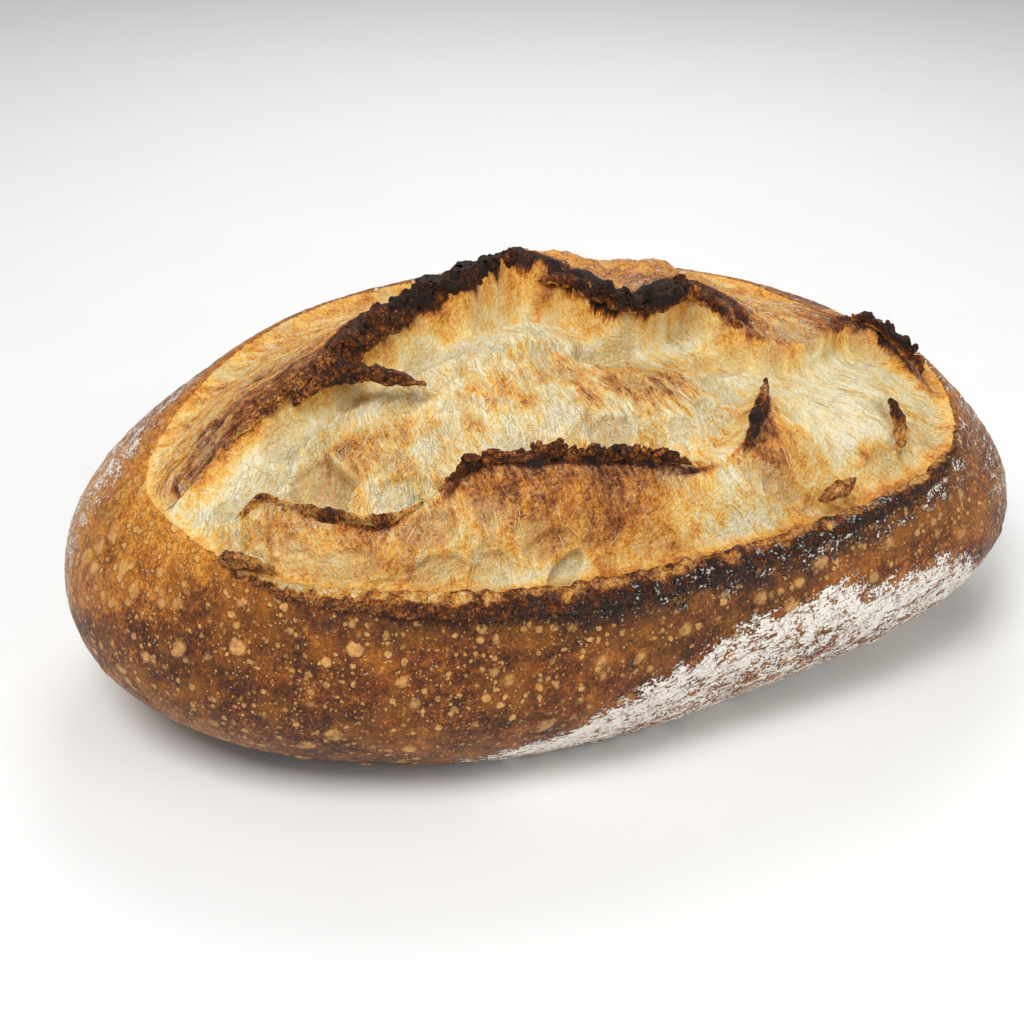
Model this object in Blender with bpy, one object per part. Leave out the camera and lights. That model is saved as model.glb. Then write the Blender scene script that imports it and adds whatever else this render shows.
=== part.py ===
"""Country bread: an oval hearth loaf, baked dark, that has burst open along its top.

The loaf is one solid. A smooth egg of named sizes is its envelope, which the crust and the crests
of the torn ridges touch. The burst top is relief under that envelope: a rim with a curled lip, a
terrace torn part of the way up, and a high scorched ear along the crest. The lips and ears are
flaps, fused to the loaf.

A place on the loaf has two numbers: how far along it is from the middle, in millimetres, positive
to the right, and its girth angle in degrees, which is 0 at the front, 90 on the crest and 180 at
the back. The origin is on the hearth plane under the middle of the loaf.
"""

import math
from collections import namedtuple

import bmesh
import bpy
import numpy as np
from mathutils import Vector, noise

MM = 0.001

# Driving sizes of the envelope, in millimetres
LENGTH = 290.0
WIDTH = 175.0
HEIGHT = 107.5
WAIST = 38.0  # height at which the loaf is widest
FOOT_REACH = 1.5  # how deep the lower half would go without the hearth, in waist heights
PEAK = -0.085  # where along the loaf it is highest, as a share of half its length
# How blunt each end is in plan and in profile, left then right
PLAN_POWER = (2.3, 3.7)
CROWN_POWER = (1.9, 1.6)

# Mesh counts
ROUND_LOAF = 76
ALONG_LOAF = 58
FLAP_SIDES = 8
FLAP_STEP = 5.5  # millimetres between the stations of a flap
CROWDING = 0.32  # how much closer the faces lie on the top than on the underside
BATCH = 4096  # places measured at a time
CURVE_SAMPLES = 160
MERGE_DISTANCE = 5e-6  # metres
SHARP_ANGLE = math.radians(50)
TINY = 1e-12
FLAT_STEP = 1e-3  # how far apart two places are read for a slope, in radians or half lengths

# Colour of the baked crust, and its roughness
CRUST = ((0.24, 0.085, 0.025, 1.0), 0.55)

RimPoint = namedtuple("RimPoint", "along girth lip valley")
Ridge = namedtuple("Ridge", "points slope cliff recover drop side")
Flap = namedtuple("Flap", "points height thickness lean side seed")
Hollow = namedtuple("Hollow", "along girth half_long half_across depth")

# The closed line where crust ends and torn crumb starts, from the left tip round by the front
BURST_RIM = (
    RimPoint(-123, 77, 0.2, 1.2),
    RimPoint(-121, 64, 0.3, 1.6),
    RimPoint(-116, 51, 0.5, 2.5),
    RimPoint(-108, 39, 1.2, 4.0),
    RimPoint(-96, 31, 1.8, 5.5),
    RimPoint(-78, 26, 2.0, 6.5),
    RimPoint(-54, 22, 2.2, 7.0),
    RimPoint(-28, 20, 2.2, 7.0),
    RimPoint(2, 20, 2.2, 6.5),
    RimPoint(30, 22, 2.2, 6.0),
    RimPoint(58, 26, 2.0, 5.0),
    RimPoint(80, 31, 1.8, 4.0),
    RimPoint(96, 39, 1.4, 3.0),
    RimPoint(107, 50, 1.0, 2.4),
    RimPoint(115, 66, 1.2, 2.4),
    RimPoint(116, 83, 1.6, 3.0),
    RimPoint(102, 96, 2.0, 4.0),
    RimPoint(74, 105, 2.2, 5.0),
    RimPoint(38, 113, 2.4, 5.5),
    RimPoint(-4, 118, 2.4, 5.5),
    RimPoint(-44, 116, 2.2, 5.5),
    RimPoint(-78, 110, 1.8, 5.0),
    RimPoint(-102, 102, 1.2, 3.5),
    RimPoint(-117, 92, 0.5, 2.0),
)

# Torn ridges inside the rim: (along, girth, rise). Side is +1 where the drop is behind the crest.
RIDGES = (
    Ridge(  # the terrace, facing the front
        points=(
            (-112, 53, 0.0), (-99, 56, 3.0), (-88, 49, 4.0), (-76, 43, 4.5), (-62, 45, 5.5),
            (-49, 50, 6.5), (-32, 47, 7.0), (-10, 44, 6.5), (6, 41, 5.0), (18, 42, 4.0),
            (28, 47, 5.5), (38, 55, 3.0), (44, 62, 0.0),
        ),
        slope=26.0, cliff=5.0, recover=22.0, drop=3.5, side=1,
    ),
    Ridge(  # the ear along the crest, undercut at the front
        points=(
            (-112, 71, 0.0), (-98, 78, 3.0), (-84, 80, 5.0), (-69, 83, 7.0), (-57, 86, 8.5),
            (-44, 90, 9.5), (-30, 94, 10.0), (-16, 97, 10.0), (-4, 97, 9.5), (4, 87, 9.0),
            (11, 79, 8.5), (26, 81, 8.5), (38, 82, 8.0), (44, 73, 6.0), (54, 68, 5.0),
            (68, 70, 5.0), (84, 77, 6.0), (97, 76, 6.0), (102, 66, 3.0), (106, 58, 0.0),
        ),
        slope=32.0, cliff=5.0, recover=26.0, drop=4.5, side=-1,
    ),
)

# Curled flaps: (along, girth) lines, with how far each stands out
FLAPS = (
    Flap(  # front lip
        points=((-110, 40), (-96, 31), (-78, 26), (-54, 22), (-28, 20), (2, 20), (30, 22),
                (58, 26), (80, 31), (95, 38)),
        height=5.5, thickness=5.4, lean=-0.35, side=1, seed=1,
    ),
    Flap(  # terrace edge
        points=((-53, 49), (-45, 49), (-32, 47), (-14, 44.5), (5, 41)),
        height=7.0, thickness=5.0, lean=0.3, side=1, seed=2,
    ),
    Flap(  # low torn edge to the left of the terrace
        points=((-106, 54), (-99, 56), (-92, 50), (-84, 46), (-76, 43), (-68, 44)),
        height=5.5, thickness=4.5, lean=0.3, side=1, seed=10,
    ),
    Flap(  # left ear
        points=((-94, 79), (-84, 80), (-69, 83), (-57, 86), (-44, 90), (-30, 94), (-14, 97),
                (0, 96)),
        height=11.5, thickness=8.5, lean=0.4, side=-1, seed=3,
    ),
    Flap(  # right ear
        points=((-4, 95), (4, 86), (10, 79), (18, 78), (28, 82), (37, 84), (42, 76), (46, 70)),
        height=10.5, thickness=7.5, lean=0.5, side=-1, seed=4,
    ),
    Flap(  # scorched edge at the back on the right
        points=((82, 79), (91, 80), (98, 76), (101, 69), (103, 62)),
        height=8.5, thickness=5.0, lean=0.1, side=-1, seed=5,
    ),
    Flap(  # spur to the right of the terrace
        points=((24, 43), (28, 47), (34, 52), (39, 56)),
        height=7.0, thickness=5.0, lean=0.3, side=1, seed=6,
    ),
    Flap(  # small flake under the spur
        points=((40, 30), (46, 31), (53, 33)),
        height=5.0, thickness=4.5, lean=0.2, side=1, seed=7,
    ),
    Flap(  # small flake at the right
        points=((72, 38), (76, 42), (79, 47), (80, 52)),
        height=4.0, thickness=4.5, lean=0.2, side=1, seed=8,
    ),
    Flap(  # branch that joins the left ear
        points=((-83, 79), (-74, 81), (-66, 79), (-59, 74), (-51, 69)),
        height=7.5, thickness=6.5, lean=0.4, side=-1, seed=9,
    ),
)

# Open gas holes in the torn crumb
HOLLOWS = (
    Hollow(-86, 57, 8, 9, 3.5),
    Hollow(-12, 90, 14, 8, 5.0),
    Hollow(3, 73, 14, 6, 4.5),
    Hollow(36, 68, 10, 6, 3.0),
    Hollow(-65, 39, 7, 5, 2.5),
    Hollow(-34, 25, 8, 4, 2.5),
    Hollow(-42, 82, 12, 7, 3.0),
    Hollow(-88, 72, 9, 6, 2.5),
)

# Section of the rim, as distances in from its line: the crust swells to a lip, then the wall drops
LIP_START = (-16.0, -1.0)
LIP_END = (-1.0, 3.0)
VALLEY_WALL = (-0.5, 5.0)
VALLEY_RISE = (8.0, 26.0)
VALLEY_RECOVERY = 0.35  # share of the valley's depth that its floor rises again
RIM_FADE = 6.0  # inside the rim, the ridges and the unevenness of the crumb grow over this distance
FULL_RISE = 6.0  # a ridge at least this high is undercut to its whole depth
HOLLOW_FLOOR = 0.3  # flat share of a hollow's radius

# Unevenness of the dough, and of the torn crumb on top of it, in millimetres
FORM_NOISE_SIZE = 45.0
FORM_NOISE_DEPTH = 1.6
CRUMB_NOISE_SIZE = 17.0
CRUMB_NOISE_DEPTH = 1.8

# Section and free edge of a flap
FLAP_TAPER = 0.4  # how blunt its two ends are: 0 is cut off square
FLAP_THINNING = 0.25  # its free edge is thinner than its middle by this share
NOTCH_SIZE = 9.0  # millimetres along the free edge
NOTCH_LEVEL = 0.8
NOTCH_DEPTH = 0.6
SEED_STEP = 5.3  # how far apart two seeds read the same noise


def clear_scene():
    """Removes what the file opened with."""
    for item in list(bpy.data.objects):
        bpy.data.objects.remove(item)


def smooth(low, high, value):
    """0 below low, 1 above high, and an easy curve between."""
    share = np.clip((value - low) / (high - low), 0.0, 1.0)
    return share * share * (3.0 - 2.0 * share)


def envelope(along_share, girth):
    """Points of the egg in millimetres. along_share runs from -1 to 1, girth is in radians."""
    left = along_share < 0
    plan = np.where(left, *PLAN_POWER)
    half_width = WIDTH / 2 * np.sqrt(np.clip(1 - np.abs(along_share) ** plan, 0, 1))
    before_peak = along_share < PEAK
    to_tip = np.abs(along_share - PEAK) / np.where(before_peak, 1 + PEAK, 1 - PEAK)
    crown = np.sqrt(np.clip(1 - np.clip(to_tip, 0, 1) ** np.where(before_peak, *CROWN_POWER), 0, 1))
    up = np.sin(girth)
    reach = np.where(up > 0, HEIGHT - WAIST, FOOT_REACH * WAIST)
    out = -half_width * np.cos(girth)
    return np.stack([along_share * LENGTH / 2, out, WAIST + reach * crown * up], -1)


def envelope_normal(along_share, girth):
    """Unit vectors that point out of the egg."""
    near = np.clip(along_share - FLAT_STEP, -1, 1)
    far = np.clip(along_share + FLAT_STEP, -1, 1)
    lengthwise = envelope(far, girth) - envelope(near, girth)
    crosswise = envelope(along_share, girth + FLAT_STEP) - envelope(along_share, girth - FLAT_STEP)
    normal = np.cross(lengthwise, crosswise)
    size = np.maximum(np.linalg.norm(normal, axis=-1), TINY)
    outward = envelope(along_share, girth) - [0, 0, WAIST]
    inverted = (normal * outward).sum(-1) < 0
    return normal / np.where(inverted, -size, size)[..., None]


def smooth_line(points, closed, count=CURVE_SAMPLES):
    """Rows of numbers read evenly from a smooth curve through the given rows."""
    rows = np.array(points, float)
    spans = len(rows) if closed else len(rows) - 1
    places = np.linspace(0, spans, count, endpoint=not closed)
    start = np.minimum(places.astype(int), spans - 1)
    share = (places - start)[:, None]

    def row(offset):
        index = start + offset
        return rows[index % len(rows)] if closed else rows[np.clip(index, 0, len(rows) - 1)]

    before, first, last, after = row(-1), row(0), row(1), row(2)
    return 0.5 * (
        2 * first
        + (last - before) * share
        + (2 * before - 5 * first + 4 * last - after) * share**2
        + (3 * first - before - 3 * last + after) * share**3
    )


class Line:
    """A line on the envelope, with what each of its points carries."""

    def __init__(self, rows, closed=False, count=CURVE_SAMPLES):
        table = smooth_line(rows, closed, count)
        share, girth = table[:, 0] / (LENGTH / 2), np.radians(table[:, 1])
        self.points = envelope(share, girth)
        self.normals = envelope_normal(share, girth)
        self.values = table[:, 2:]
        if closed:
            ahead, behind = np.roll(self.points, -1, 0), np.roll(self.points, 1, 0)
            tangent = ahead - behind
        else:
            tangent = np.gradient(self.points, axis=0)
        across = np.cross(self.normals, tangent)
        self.across = across / np.linalg.norm(across, axis=-1)[:, None]

    def measure(self, places):
        """For each place: its signed distance across the line, and the line's values there."""
        nearest = np.empty(len(places), int)
        for first in range(0, len(places), BATCH):
            batch = slice(first, first + BATCH)
            gaps = ((places[batch, None] - self.points[None]) ** 2).sum(-1)
            nearest[batch] = gaps.argmin(1)
        offset = places - self.points[nearest]
        distance = np.linalg.norm(offset, axis=-1)
        sign = np.sign((offset * self.across[nearest]).sum(-1))
        return distance * sign, self.values[nearest]


def rim_relief(places):
    """Relief of the burst's rim in millimetres, and how far each place is inside it."""
    inside, values = Line(BURST_RIM, closed=True, count=2 * CURVE_SAMPLES).measure(places)
    lip, valley = values[:, 0], values[:, 1]
    swell = lip * smooth(*LIP_START, inside) * (1 - smooth(*LIP_END, inside))
    hollow = valley * smooth(*VALLEY_WALL, inside)
    return swell - hollow * (1 - VALLEY_RECOVERY * smooth(*VALLEY_RISE, inside)), inside


def ridge_relief(places, ridge, inside):
    """Relief of one torn ridge: a long slope up to a crest, then a short drop."""
    across, values = Line(ridge.points).measure(places)
    ahead = across * ridge.side
    rise = values[:, 0]
    climb = 1 - smooth(0, ridge.slope, -ahead)
    fall = 1 - smooth(0, ridge.cliff, ahead)
    pit = (1 - fall) * (1 - smooth(ridge.cliff, ridge.recover, ahead))
    depth = ridge.drop * np.clip(rise / FULL_RISE, 0, 1)
    return (rise * np.where(ahead < 0, climb, fall) - depth * pit) * smooth(0, RIM_FADE, inside)


def hollow_relief(places, hollow):
    """Relief of one open gas hole."""
    share, girth = np.array([hollow.along / (LENGTH / 2)]), np.radians([hollow.girth])
    centre, normal = envelope(share, girth)[0], envelope_normal(share, girth)[0]
    across = np.cross(normal, (1.0, 0.0, 0.0))
    across /= np.linalg.norm(across)
    offset = places - centre
    reach = np.hypot(offset[:, 0] / hollow.half_long, (offset @ across) / hollow.half_across)
    return -hollow.depth * (1 - smooth(HOLLOW_FLOOR, 1.0, reach))


def uneven(places, size, depth, shift):
    """Smooth random relief, the same in each run."""
    start = Vector((shift, 0, 0))
    return depth * np.array([noise.noise(Vector(place) / size + start) for place in places])


def loaf_points(along_share, girth):
    """Points of the loaf's surface, with the whole relief."""
    places = envelope(along_share, girth)
    normals = envelope_normal(along_share, girth)
    relief, inside = rim_relief(places)
    for ridge in RIDGES:
        relief += ridge_relief(places, ridge, inside)
    for hollow in HOLLOWS:
        relief += hollow_relief(places, hollow)
    relief += uneven(places, FORM_NOISE_SIZE, FORM_NOISE_DEPTH, shift=0.0)
    relief += uneven(places, CRUMB_NOISE_SIZE, CRUMB_NOISE_DEPTH, shift=7.0) * smooth(0, RIM_FADE, inside)
    return places + normals * relief[:, None]


def sphere_angles(mesh):
    """Polar angle from the left tip, and girth angle, of each vertex of a unit sphere."""
    points = np.array([vertex.co for vertex in mesh.verts])
    polar = np.arccos(np.clip(-points[:, 2], -1, 1))
    around = np.arctan2(points[:, 1], points[:, 0])
    return polar, around


def new_sphere(sides, rings):
    """A unit sphere as a bmesh, with its poles along Z."""
    mesh = bmesh.new()
    bmesh.ops.create_uvsphere(mesh, u_segments=sides, v_segments=rings, radius=1.0)
    return mesh


def move_vertices(mesh, points):
    """Puts the vertices of a bmesh at the given places in millimetres."""
    for vertex, point in zip(mesh.verts, points):
        vertex.co = Vector(point) * MM


def finish_object(mesh, name, collection):
    """Makes an object of a bmesh, with its faces pointing out."""
    bmesh.ops.triangulate(mesh, faces=mesh.faces)
    bmesh.ops.recalc_face_normals(mesh, faces=mesh.faces)
    data = bpy.data.meshes.new(name)
    mesh.to_mesh(data)
    mesh.free()
    made = bpy.data.objects.new(name, data)
    collection.objects.link(made)
    return made


def make_loaf(collection):
    """The loaf without its flaps: the sphere is moved onto the relief and cut flat on the hearth."""
    mesh = new_sphere(ROUND_LOAF, ALONG_LOAF)
    polar, around = sphere_angles(mesh)
    crowded = around - CROWDING * np.cos(around)
    move_vertices(mesh, loaf_points(-np.cos(polar), crowded))
    everything = list(mesh.verts) + list(mesh.edges) + list(mesh.faces)
    cut = bmesh.ops.bisect_plane(
        mesh, geom=everything, plane_co=(0, 0, 0), plane_no=(0, 0, 1), clear_inner=True
    )
    rim_edges = [item for item in cut["geom_cut"] if isinstance(item, bmesh.types.BMEdge)]
    bmesh.ops.holes_fill(mesh, edges=rim_edges, sides=0)
    return finish_object(mesh, "loaf", collection)


def make_flap(flap, collection):
    """One curled, ragged flap: a sphere drawn out along its line and flattened."""
    line = Line(flap.points)
    reach = np.linalg.norm(np.diff(line.points, axis=0), axis=-1).sum()
    rings = max(6, int(round(reach / FLAP_STEP)))
    mesh = new_sphere(FLAP_SIDES, rings)
    polar, around = sphere_angles(mesh)
    station = np.clip(polar / math.pi * (CURVE_SAMPLES - 1), 0, CURVE_SAMPLES - 1).astype(int)
    taper = np.sin(polar) ** FLAP_TAPER
    wave = np.array([
        noise.noise(Vector((flap.seed * SEED_STEP, place, 0.0)))
        for place in polar / math.pi * reach / NOTCH_SIZE
    ])
    ragged = np.where(np.cos(around) > 0, NOTCH_LEVEL + NOTCH_DEPTH * wave, 1.0)
    out = np.cos(around) * flap.height * taper * ragged
    wide = np.sin(around) * flap.thickness / 2 * taper * (1 - FLAP_THINNING * np.cos(around))
    lean = flap.lean * np.maximum(out, 0)
    offset = (wide + lean * flap.side)[:, None] * line.across[station]
    move_vertices(mesh, line.points[station] + out[:, None] * line.normals[station] + offset)
    return finish_object(mesh, "flap", collection)


def fuse(loaf, flaps, collection):
    """One union of the loaf with its flaps, applied."""
    union = loaf.modifiers.new("Fuse", "BOOLEAN")
    union.operation = "UNION"
    union.operand_type = "COLLECTION"
    union.collection = collection
    union.solver = "MANIFOLD"
    graph = bpy.context.evaluated_depsgraph_get()
    fused = bpy.data.meshes.new_from_object(loaf.evaluated_get(graph))
    loaf.modifiers.remove(union)
    loaf.data = fused
    for flap in flaps:
        bpy.data.objects.remove(flap)
    bpy.data.collections.remove(collection)


def keep_largest(loaf):
    """Drops any loose scrap that the union left, and merges points that coincide."""
    mesh = bmesh.new()
    mesh.from_mesh(loaf.data)
    bmesh.ops.remove_doubles(mesh, verts=mesh.verts, dist=MERGE_DISTANCE)
    bmesh.ops.dissolve_degenerate(mesh, edges=mesh.edges, dist=MERGE_DISTANCE)
    unseen, shells = set(mesh.verts), []
    while unseen:
        shell, front = set(), [unseen.pop()]
        while front:
            vertex = front.pop()
            shell.add(vertex)
            near = {edge.other_vert(vertex) for edge in vertex.link_edges} & unseen
            unseen -= near
            front.extend(near)
        shells.append(shell)
    largest = max(shells, key=len)
    loose = [vertex for shell in shells if shell is not largest for vertex in shell]
    bmesh.ops.delete(mesh, geom=loose, context="VERTS")
    bmesh.ops.triangulate(mesh, faces=mesh.faces)
    mesh.to_mesh(loaf.data)
    mesh.free()


def crust_material():
    """Baked crust."""
    colour, roughness = CRUST
    material = bpy.data.materials.new("crust")
    material.use_nodes = True
    shader = material.node_tree.nodes["Principled BSDF"]
    shader.inputs["Base Color"].default_value = colour
    shader.inputs["Roughness"].default_value = roughness
    shader.inputs["Metallic"].default_value = 0.0
    return material


def main():
    clear_scene()
    bread = bpy.data.collections.new("country_bread")
    pieces = bpy.data.collections.new("flaps")
    bpy.context.scene.collection.children.link(bread)
    bpy.context.scene.collection.children.link(pieces)
    loaf = make_loaf(bread)
    flaps = [make_flap(flap, pieces) for flap in FLAPS]
    fuse(loaf, flaps, pieces)
    keep_largest(loaf)
    loaf.data.materials.clear()
    loaf.data.materials.append(crust_material())
    loaf.data.shade_smooth()
    loaf.data.set_sharp_from_angle(angle=SHARP_ANGLE)


main()
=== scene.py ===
"""Country bread for the picture: crust, torn crumb, scorched ears and flour, with light and camera.

A place on the loaf has two numbers: how far along it is from the middle, in millimetres, positive to
the right, and its girth in degrees, which is 0 at the front, 90 on the crest and 180 at the back.
"""

import logging
import math
from dataclasses import dataclass
from enum import Enum
from itertools import product

import bmesh
import bpy
import numpy as np
from mathutils import Matrix, Vector


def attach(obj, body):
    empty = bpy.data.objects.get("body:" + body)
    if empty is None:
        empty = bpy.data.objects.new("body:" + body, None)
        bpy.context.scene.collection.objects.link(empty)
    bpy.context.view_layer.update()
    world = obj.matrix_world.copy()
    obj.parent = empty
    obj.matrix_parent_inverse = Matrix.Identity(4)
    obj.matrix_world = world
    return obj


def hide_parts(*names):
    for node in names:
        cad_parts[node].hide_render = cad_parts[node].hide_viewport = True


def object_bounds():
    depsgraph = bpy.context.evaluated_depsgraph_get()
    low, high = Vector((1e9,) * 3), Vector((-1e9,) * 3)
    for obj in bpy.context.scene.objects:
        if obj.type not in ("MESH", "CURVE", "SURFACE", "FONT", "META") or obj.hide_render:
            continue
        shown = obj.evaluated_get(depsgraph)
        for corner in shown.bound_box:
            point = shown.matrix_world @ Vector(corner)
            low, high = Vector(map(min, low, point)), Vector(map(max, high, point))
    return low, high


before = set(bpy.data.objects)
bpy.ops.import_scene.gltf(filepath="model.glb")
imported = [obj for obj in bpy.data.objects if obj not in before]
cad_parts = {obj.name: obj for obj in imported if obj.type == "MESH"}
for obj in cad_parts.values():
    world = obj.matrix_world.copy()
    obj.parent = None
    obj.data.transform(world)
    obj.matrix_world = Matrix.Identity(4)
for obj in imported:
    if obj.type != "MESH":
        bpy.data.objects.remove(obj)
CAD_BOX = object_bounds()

LOG = logging.getLogger("bread")
MM = 0.001
NODE = "loaf"
BOX_MARGIN = 0.03  # millimetres that each vertex keeps from the CAD box
ARC = 1.45  # millimetres of surface for each degree of girth
Colour = tuple[float, float, float]


class Trait(Enum):
    """The numbers that a finish reads at each vertex."""

    BAKE = "bake"  # 0 is pale crumb, 1 is char
    FLOUR = "flour"  # share of the surface under flour
    BLISTER = "blister"  # 1 on a blister of the crust
    WEB = "web"  # how far pale strands cover the crumb
    GAS = "gas"  # 1 in the thin grey skin of a gas hole


def ease(low: float, high: float, value: np.ndarray) -> np.ndarray:
    """0 below low, 1 above high, and an easy curve between."""
    share = np.clip((value - low) / (high - low), 0.0, 1.0)
    return share * share * (3.0 - 2.0 * share)


class Grain:
    """Random numbers that fill space smoothly, the same in each run."""

    GAIN = 1.7  # brings the swells to about -1 to 1
    SHIFT = 31.7  # keeps the finer layers from lining up with the first

    def __init__(self, seed: int) -> None:
        """Draws the tables.

        Args:
            seed: Start of the random order.
        """
        drawn = np.random.default_rng(seed)
        self.order = np.tile(drawn.permutation(256), 2)
        slopes = drawn.normal(size=(256, 3))
        self.slopes = slopes / np.linalg.norm(slopes, axis=1)[:, None]
        self.spots = drawn.random((256, 3))

    def pick(self, corner: np.ndarray) -> np.ndarray:
        """A number from 0 to 255 for each corner of the lattice."""
        first = self.order[corner[:, 0] & 255]
        second = self.order[(first + corner[:, 1]) & 255]
        return self.order[(second + corner[:, 2]) & 255]

    def waves(self, places: np.ndarray, size: float | tuple[float, ...]) -> np.ndarray:
        """Smooth unevenness.

        Args:
            places: One row of three numbers for each place.
            size: Distance between swells, in the same unit, or one for each axis.

        Returns:
            Numbers from about -1 to 1.
        """
        scaled = places / np.array(size)
        corner = np.floor(scaled).astype(int)
        share = scaled - corner
        eased = share**3 * (share * (share * 6 - 15) + 10)
        total = np.zeros(len(places))
        for offset in product((0, 1), repeat=3):
            slope = self.slopes[self.pick(corner + offset)]
            weight = np.where(offset, eased, 1 - eased).prod(axis=-1)
            total += weight * (slope * (share - offset)).sum(axis=-1)
        return self.GAIN * total

    def billows(self, places: np.ndarray, size: float, layers: int = 3) -> np.ndarray:
        """Unevenness with finer unevenness on it.

        Args:
            places: One row of three numbers for each place.
            size: Distance between the largest swells.
            layers: How many sizes are added, each half of the one before.

        Returns:
            Numbers from about -1 to 1.
        """
        total = np.zeros(len(places))
        for layer in range(layers):
            total += self.waves(places + self.SHIFT * layer, size / 2**layer) / 2**layer
        return total / (2 - 2 ** (1 - layers))

    def cells(self, places: np.ndarray, size: float | tuple[float, ...]) -> tuple[np.ndarray, ...]:
        """Cells around scattered points, as in a foam.

        Args:
            places: One row of three numbers for each place.
            size: Distance between the points, or one for each axis.

        Returns:
            Distance to the nearest point and to the cell's wall, as shares of the size, and a number
            from 0 to 1 for each cell.
        """
        scaled = places / np.array(size)
        corner = np.floor(scaled).astype(int)
        nearest = np.full(len(places), 9.0)
        second = np.full(len(places), 9.0)
        number = np.zeros(len(places))
        for offset in product((-1, 0, 1), repeat=3):
            picked = self.pick(corner + offset)
            gap = np.linalg.norm(scaled - corner - offset - self.spots[picked], axis=1)
            closer = gap < nearest
            second = np.where(closer, nearest, np.minimum(second, gap))
            number = np.where(closer, picked / 255.0, number)
            nearest = np.minimum(nearest, gap)
        return nearest, second - nearest, number


@dataclass(frozen=True)
class Egg:
    """The smooth egg that the crust follows, in millimetres."""

    length: float = 290.0
    width: float = 175.0
    height: float = 107.5
    waist: float = 38.0
    foot_reach: float = 1.5
    peak: float = -0.085
    plan_power: tuple[float, float] = (2.3, 3.7)
    crown_power: tuple[float, float] = (1.9, 1.6)

    def points(self, along: np.ndarray, girth: np.ndarray) -> np.ndarray:
        """Points of the egg.

        Args:
            along: Distance from the middle, in millimetres.
            girth: Angle in degrees.

        Returns:
            One row of x, y and z for each place.
        """
        share = np.clip(np.asarray(along, float) / (self.length / 2), -1, 1)
        turn = np.radians(girth)
        plan = np.where(share < 0, *self.plan_power)
        half_width = self.width / 2 * np.sqrt(1 - np.abs(share) ** plan)
        before = share < self.peak
        to_tip = np.abs(share - self.peak) / np.where(before, 1 + self.peak, 1 - self.peak)
        crown = np.sqrt(1 - np.clip(to_tip, 0, 1) ** np.where(before, *self.crown_power))
        reach = np.where(np.sin(turn) > 0, self.height - self.waist, self.foot_reach * self.waist)
        rise = self.waist + reach * crown * np.sin(turn)
        return np.stack([share * self.length / 2, -half_width * np.cos(turn), rise], -1)

    def normals(self, along: np.ndarray, girth: np.ndarray, step: float = 0.08) -> np.ndarray:
        """Unit vectors that point out of the egg.

        Args:
            along: Distance from the middle, in millimetres.
            girth: Angle in degrees.
            step: How far apart two places are read.

        Returns:
            One row for each place.
        """
        inner = np.clip(along, -self.length / 2 + 2 * step, self.length / 2 - 2 * step)
        lengthwise = self.points(inner + step, girth) - self.points(inner - step, girth)
        crosswise = self.points(inner, girth + step) - self.points(inner, girth - step)
        normal = np.cross(lengthwise, crosswise)
        outward = self.points(inner, girth) - [0, 0, self.waist]
        normal *= np.where((normal * outward).sum(-1) < 0, -1, 1)[..., None]
        return normal / np.maximum(np.linalg.norm(normal, axis=-1), 1e-9)[..., None]


EGG = Egg()


class SurfaceLine:
    """A smooth line on the egg, with numbers that change along it."""

    def __init__(self, rows: tuple, closed: bool = False, samples: int = 400) -> None:
        """Draws the line.

        Args:
            rows: Along, girth and then the line's own numbers, for each point it goes through.
            closed: Whether it comes back to its start.
            samples: How many points stand for the curve.
        """
        given = np.array(rows, float)
        spans = len(given) if closed else len(given) - 1
        places = np.linspace(0, spans, samples, endpoint=not closed)
        start = np.minimum(places.astype(int), spans - 1)
        share = (places - start)[:, None]
        index = [start + step for step in (-1, 0, 1, 2)]
        index = [i % len(given) if closed else np.clip(i, 0, len(given) - 1) for i in index]
        before, first, last, after = (given[i] for i in index)
        table = 0.5 * (
            2 * first
            + (last - before) * share
            + (2 * before - 5 * first + 4 * last - after) * share**2
            + (3 * first - before - 3 * last + after) * share**3
        )
        self.closed = closed
        self.table = table
        self.points = EGG.points(table[:, 0], table[:, 1])
        self.normals = EGG.normals(table[:, 0], table[:, 1])
        ends = (np.roll(self.points, -1, 0), np.roll(self.points, 1, 0))
        tangent = ends[0] - ends[1] if closed else np.gradient(self.points, axis=0)
        self.tangent = tangent / np.linalg.norm(tangent, axis=1)[:, None]
        across = np.cross(self.normals, self.tangent)
        self.across = across / np.linalg.norm(across, axis=1)[:, None]
        self.reach = np.linalg.norm(np.diff(self.points, axis=0), axis=1).sum()

    def measure(self, places: np.ndarray) -> tuple[np.ndarray, np.ndarray]:
        """How far each place is across the line.

        Args:
            places: Points in millimetres.

        Returns:
            Signed distances, and the line's own numbers at the nearest point.
        """
        nearest = np.empty(len(places), int)
        points = self.points.astype(np.float32)
        for first in range(0, len(places), 8192):
            part = places[first : first + 8192].astype(np.float32)
            gaps = -2 * part @ points.T + (points**2).sum(1)
            nearest[first : first + 8192] = gaps.argmin(1)
        offset = places - self.points[nearest]
        run = (offset * self.tangent[nearest]).sum(1)
        inner = self.closed | ((nearest > 0) & (nearest < len(points) - 1))
        squared = (offset**2).sum(1) - np.where(inner, run**2, 0)
        sign = np.where((offset * self.across[nearest]).sum(1) < 0, -1, 1)
        return sign * np.sqrt(np.maximum(squared, 0)), self.table[nearest, 2:]


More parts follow.
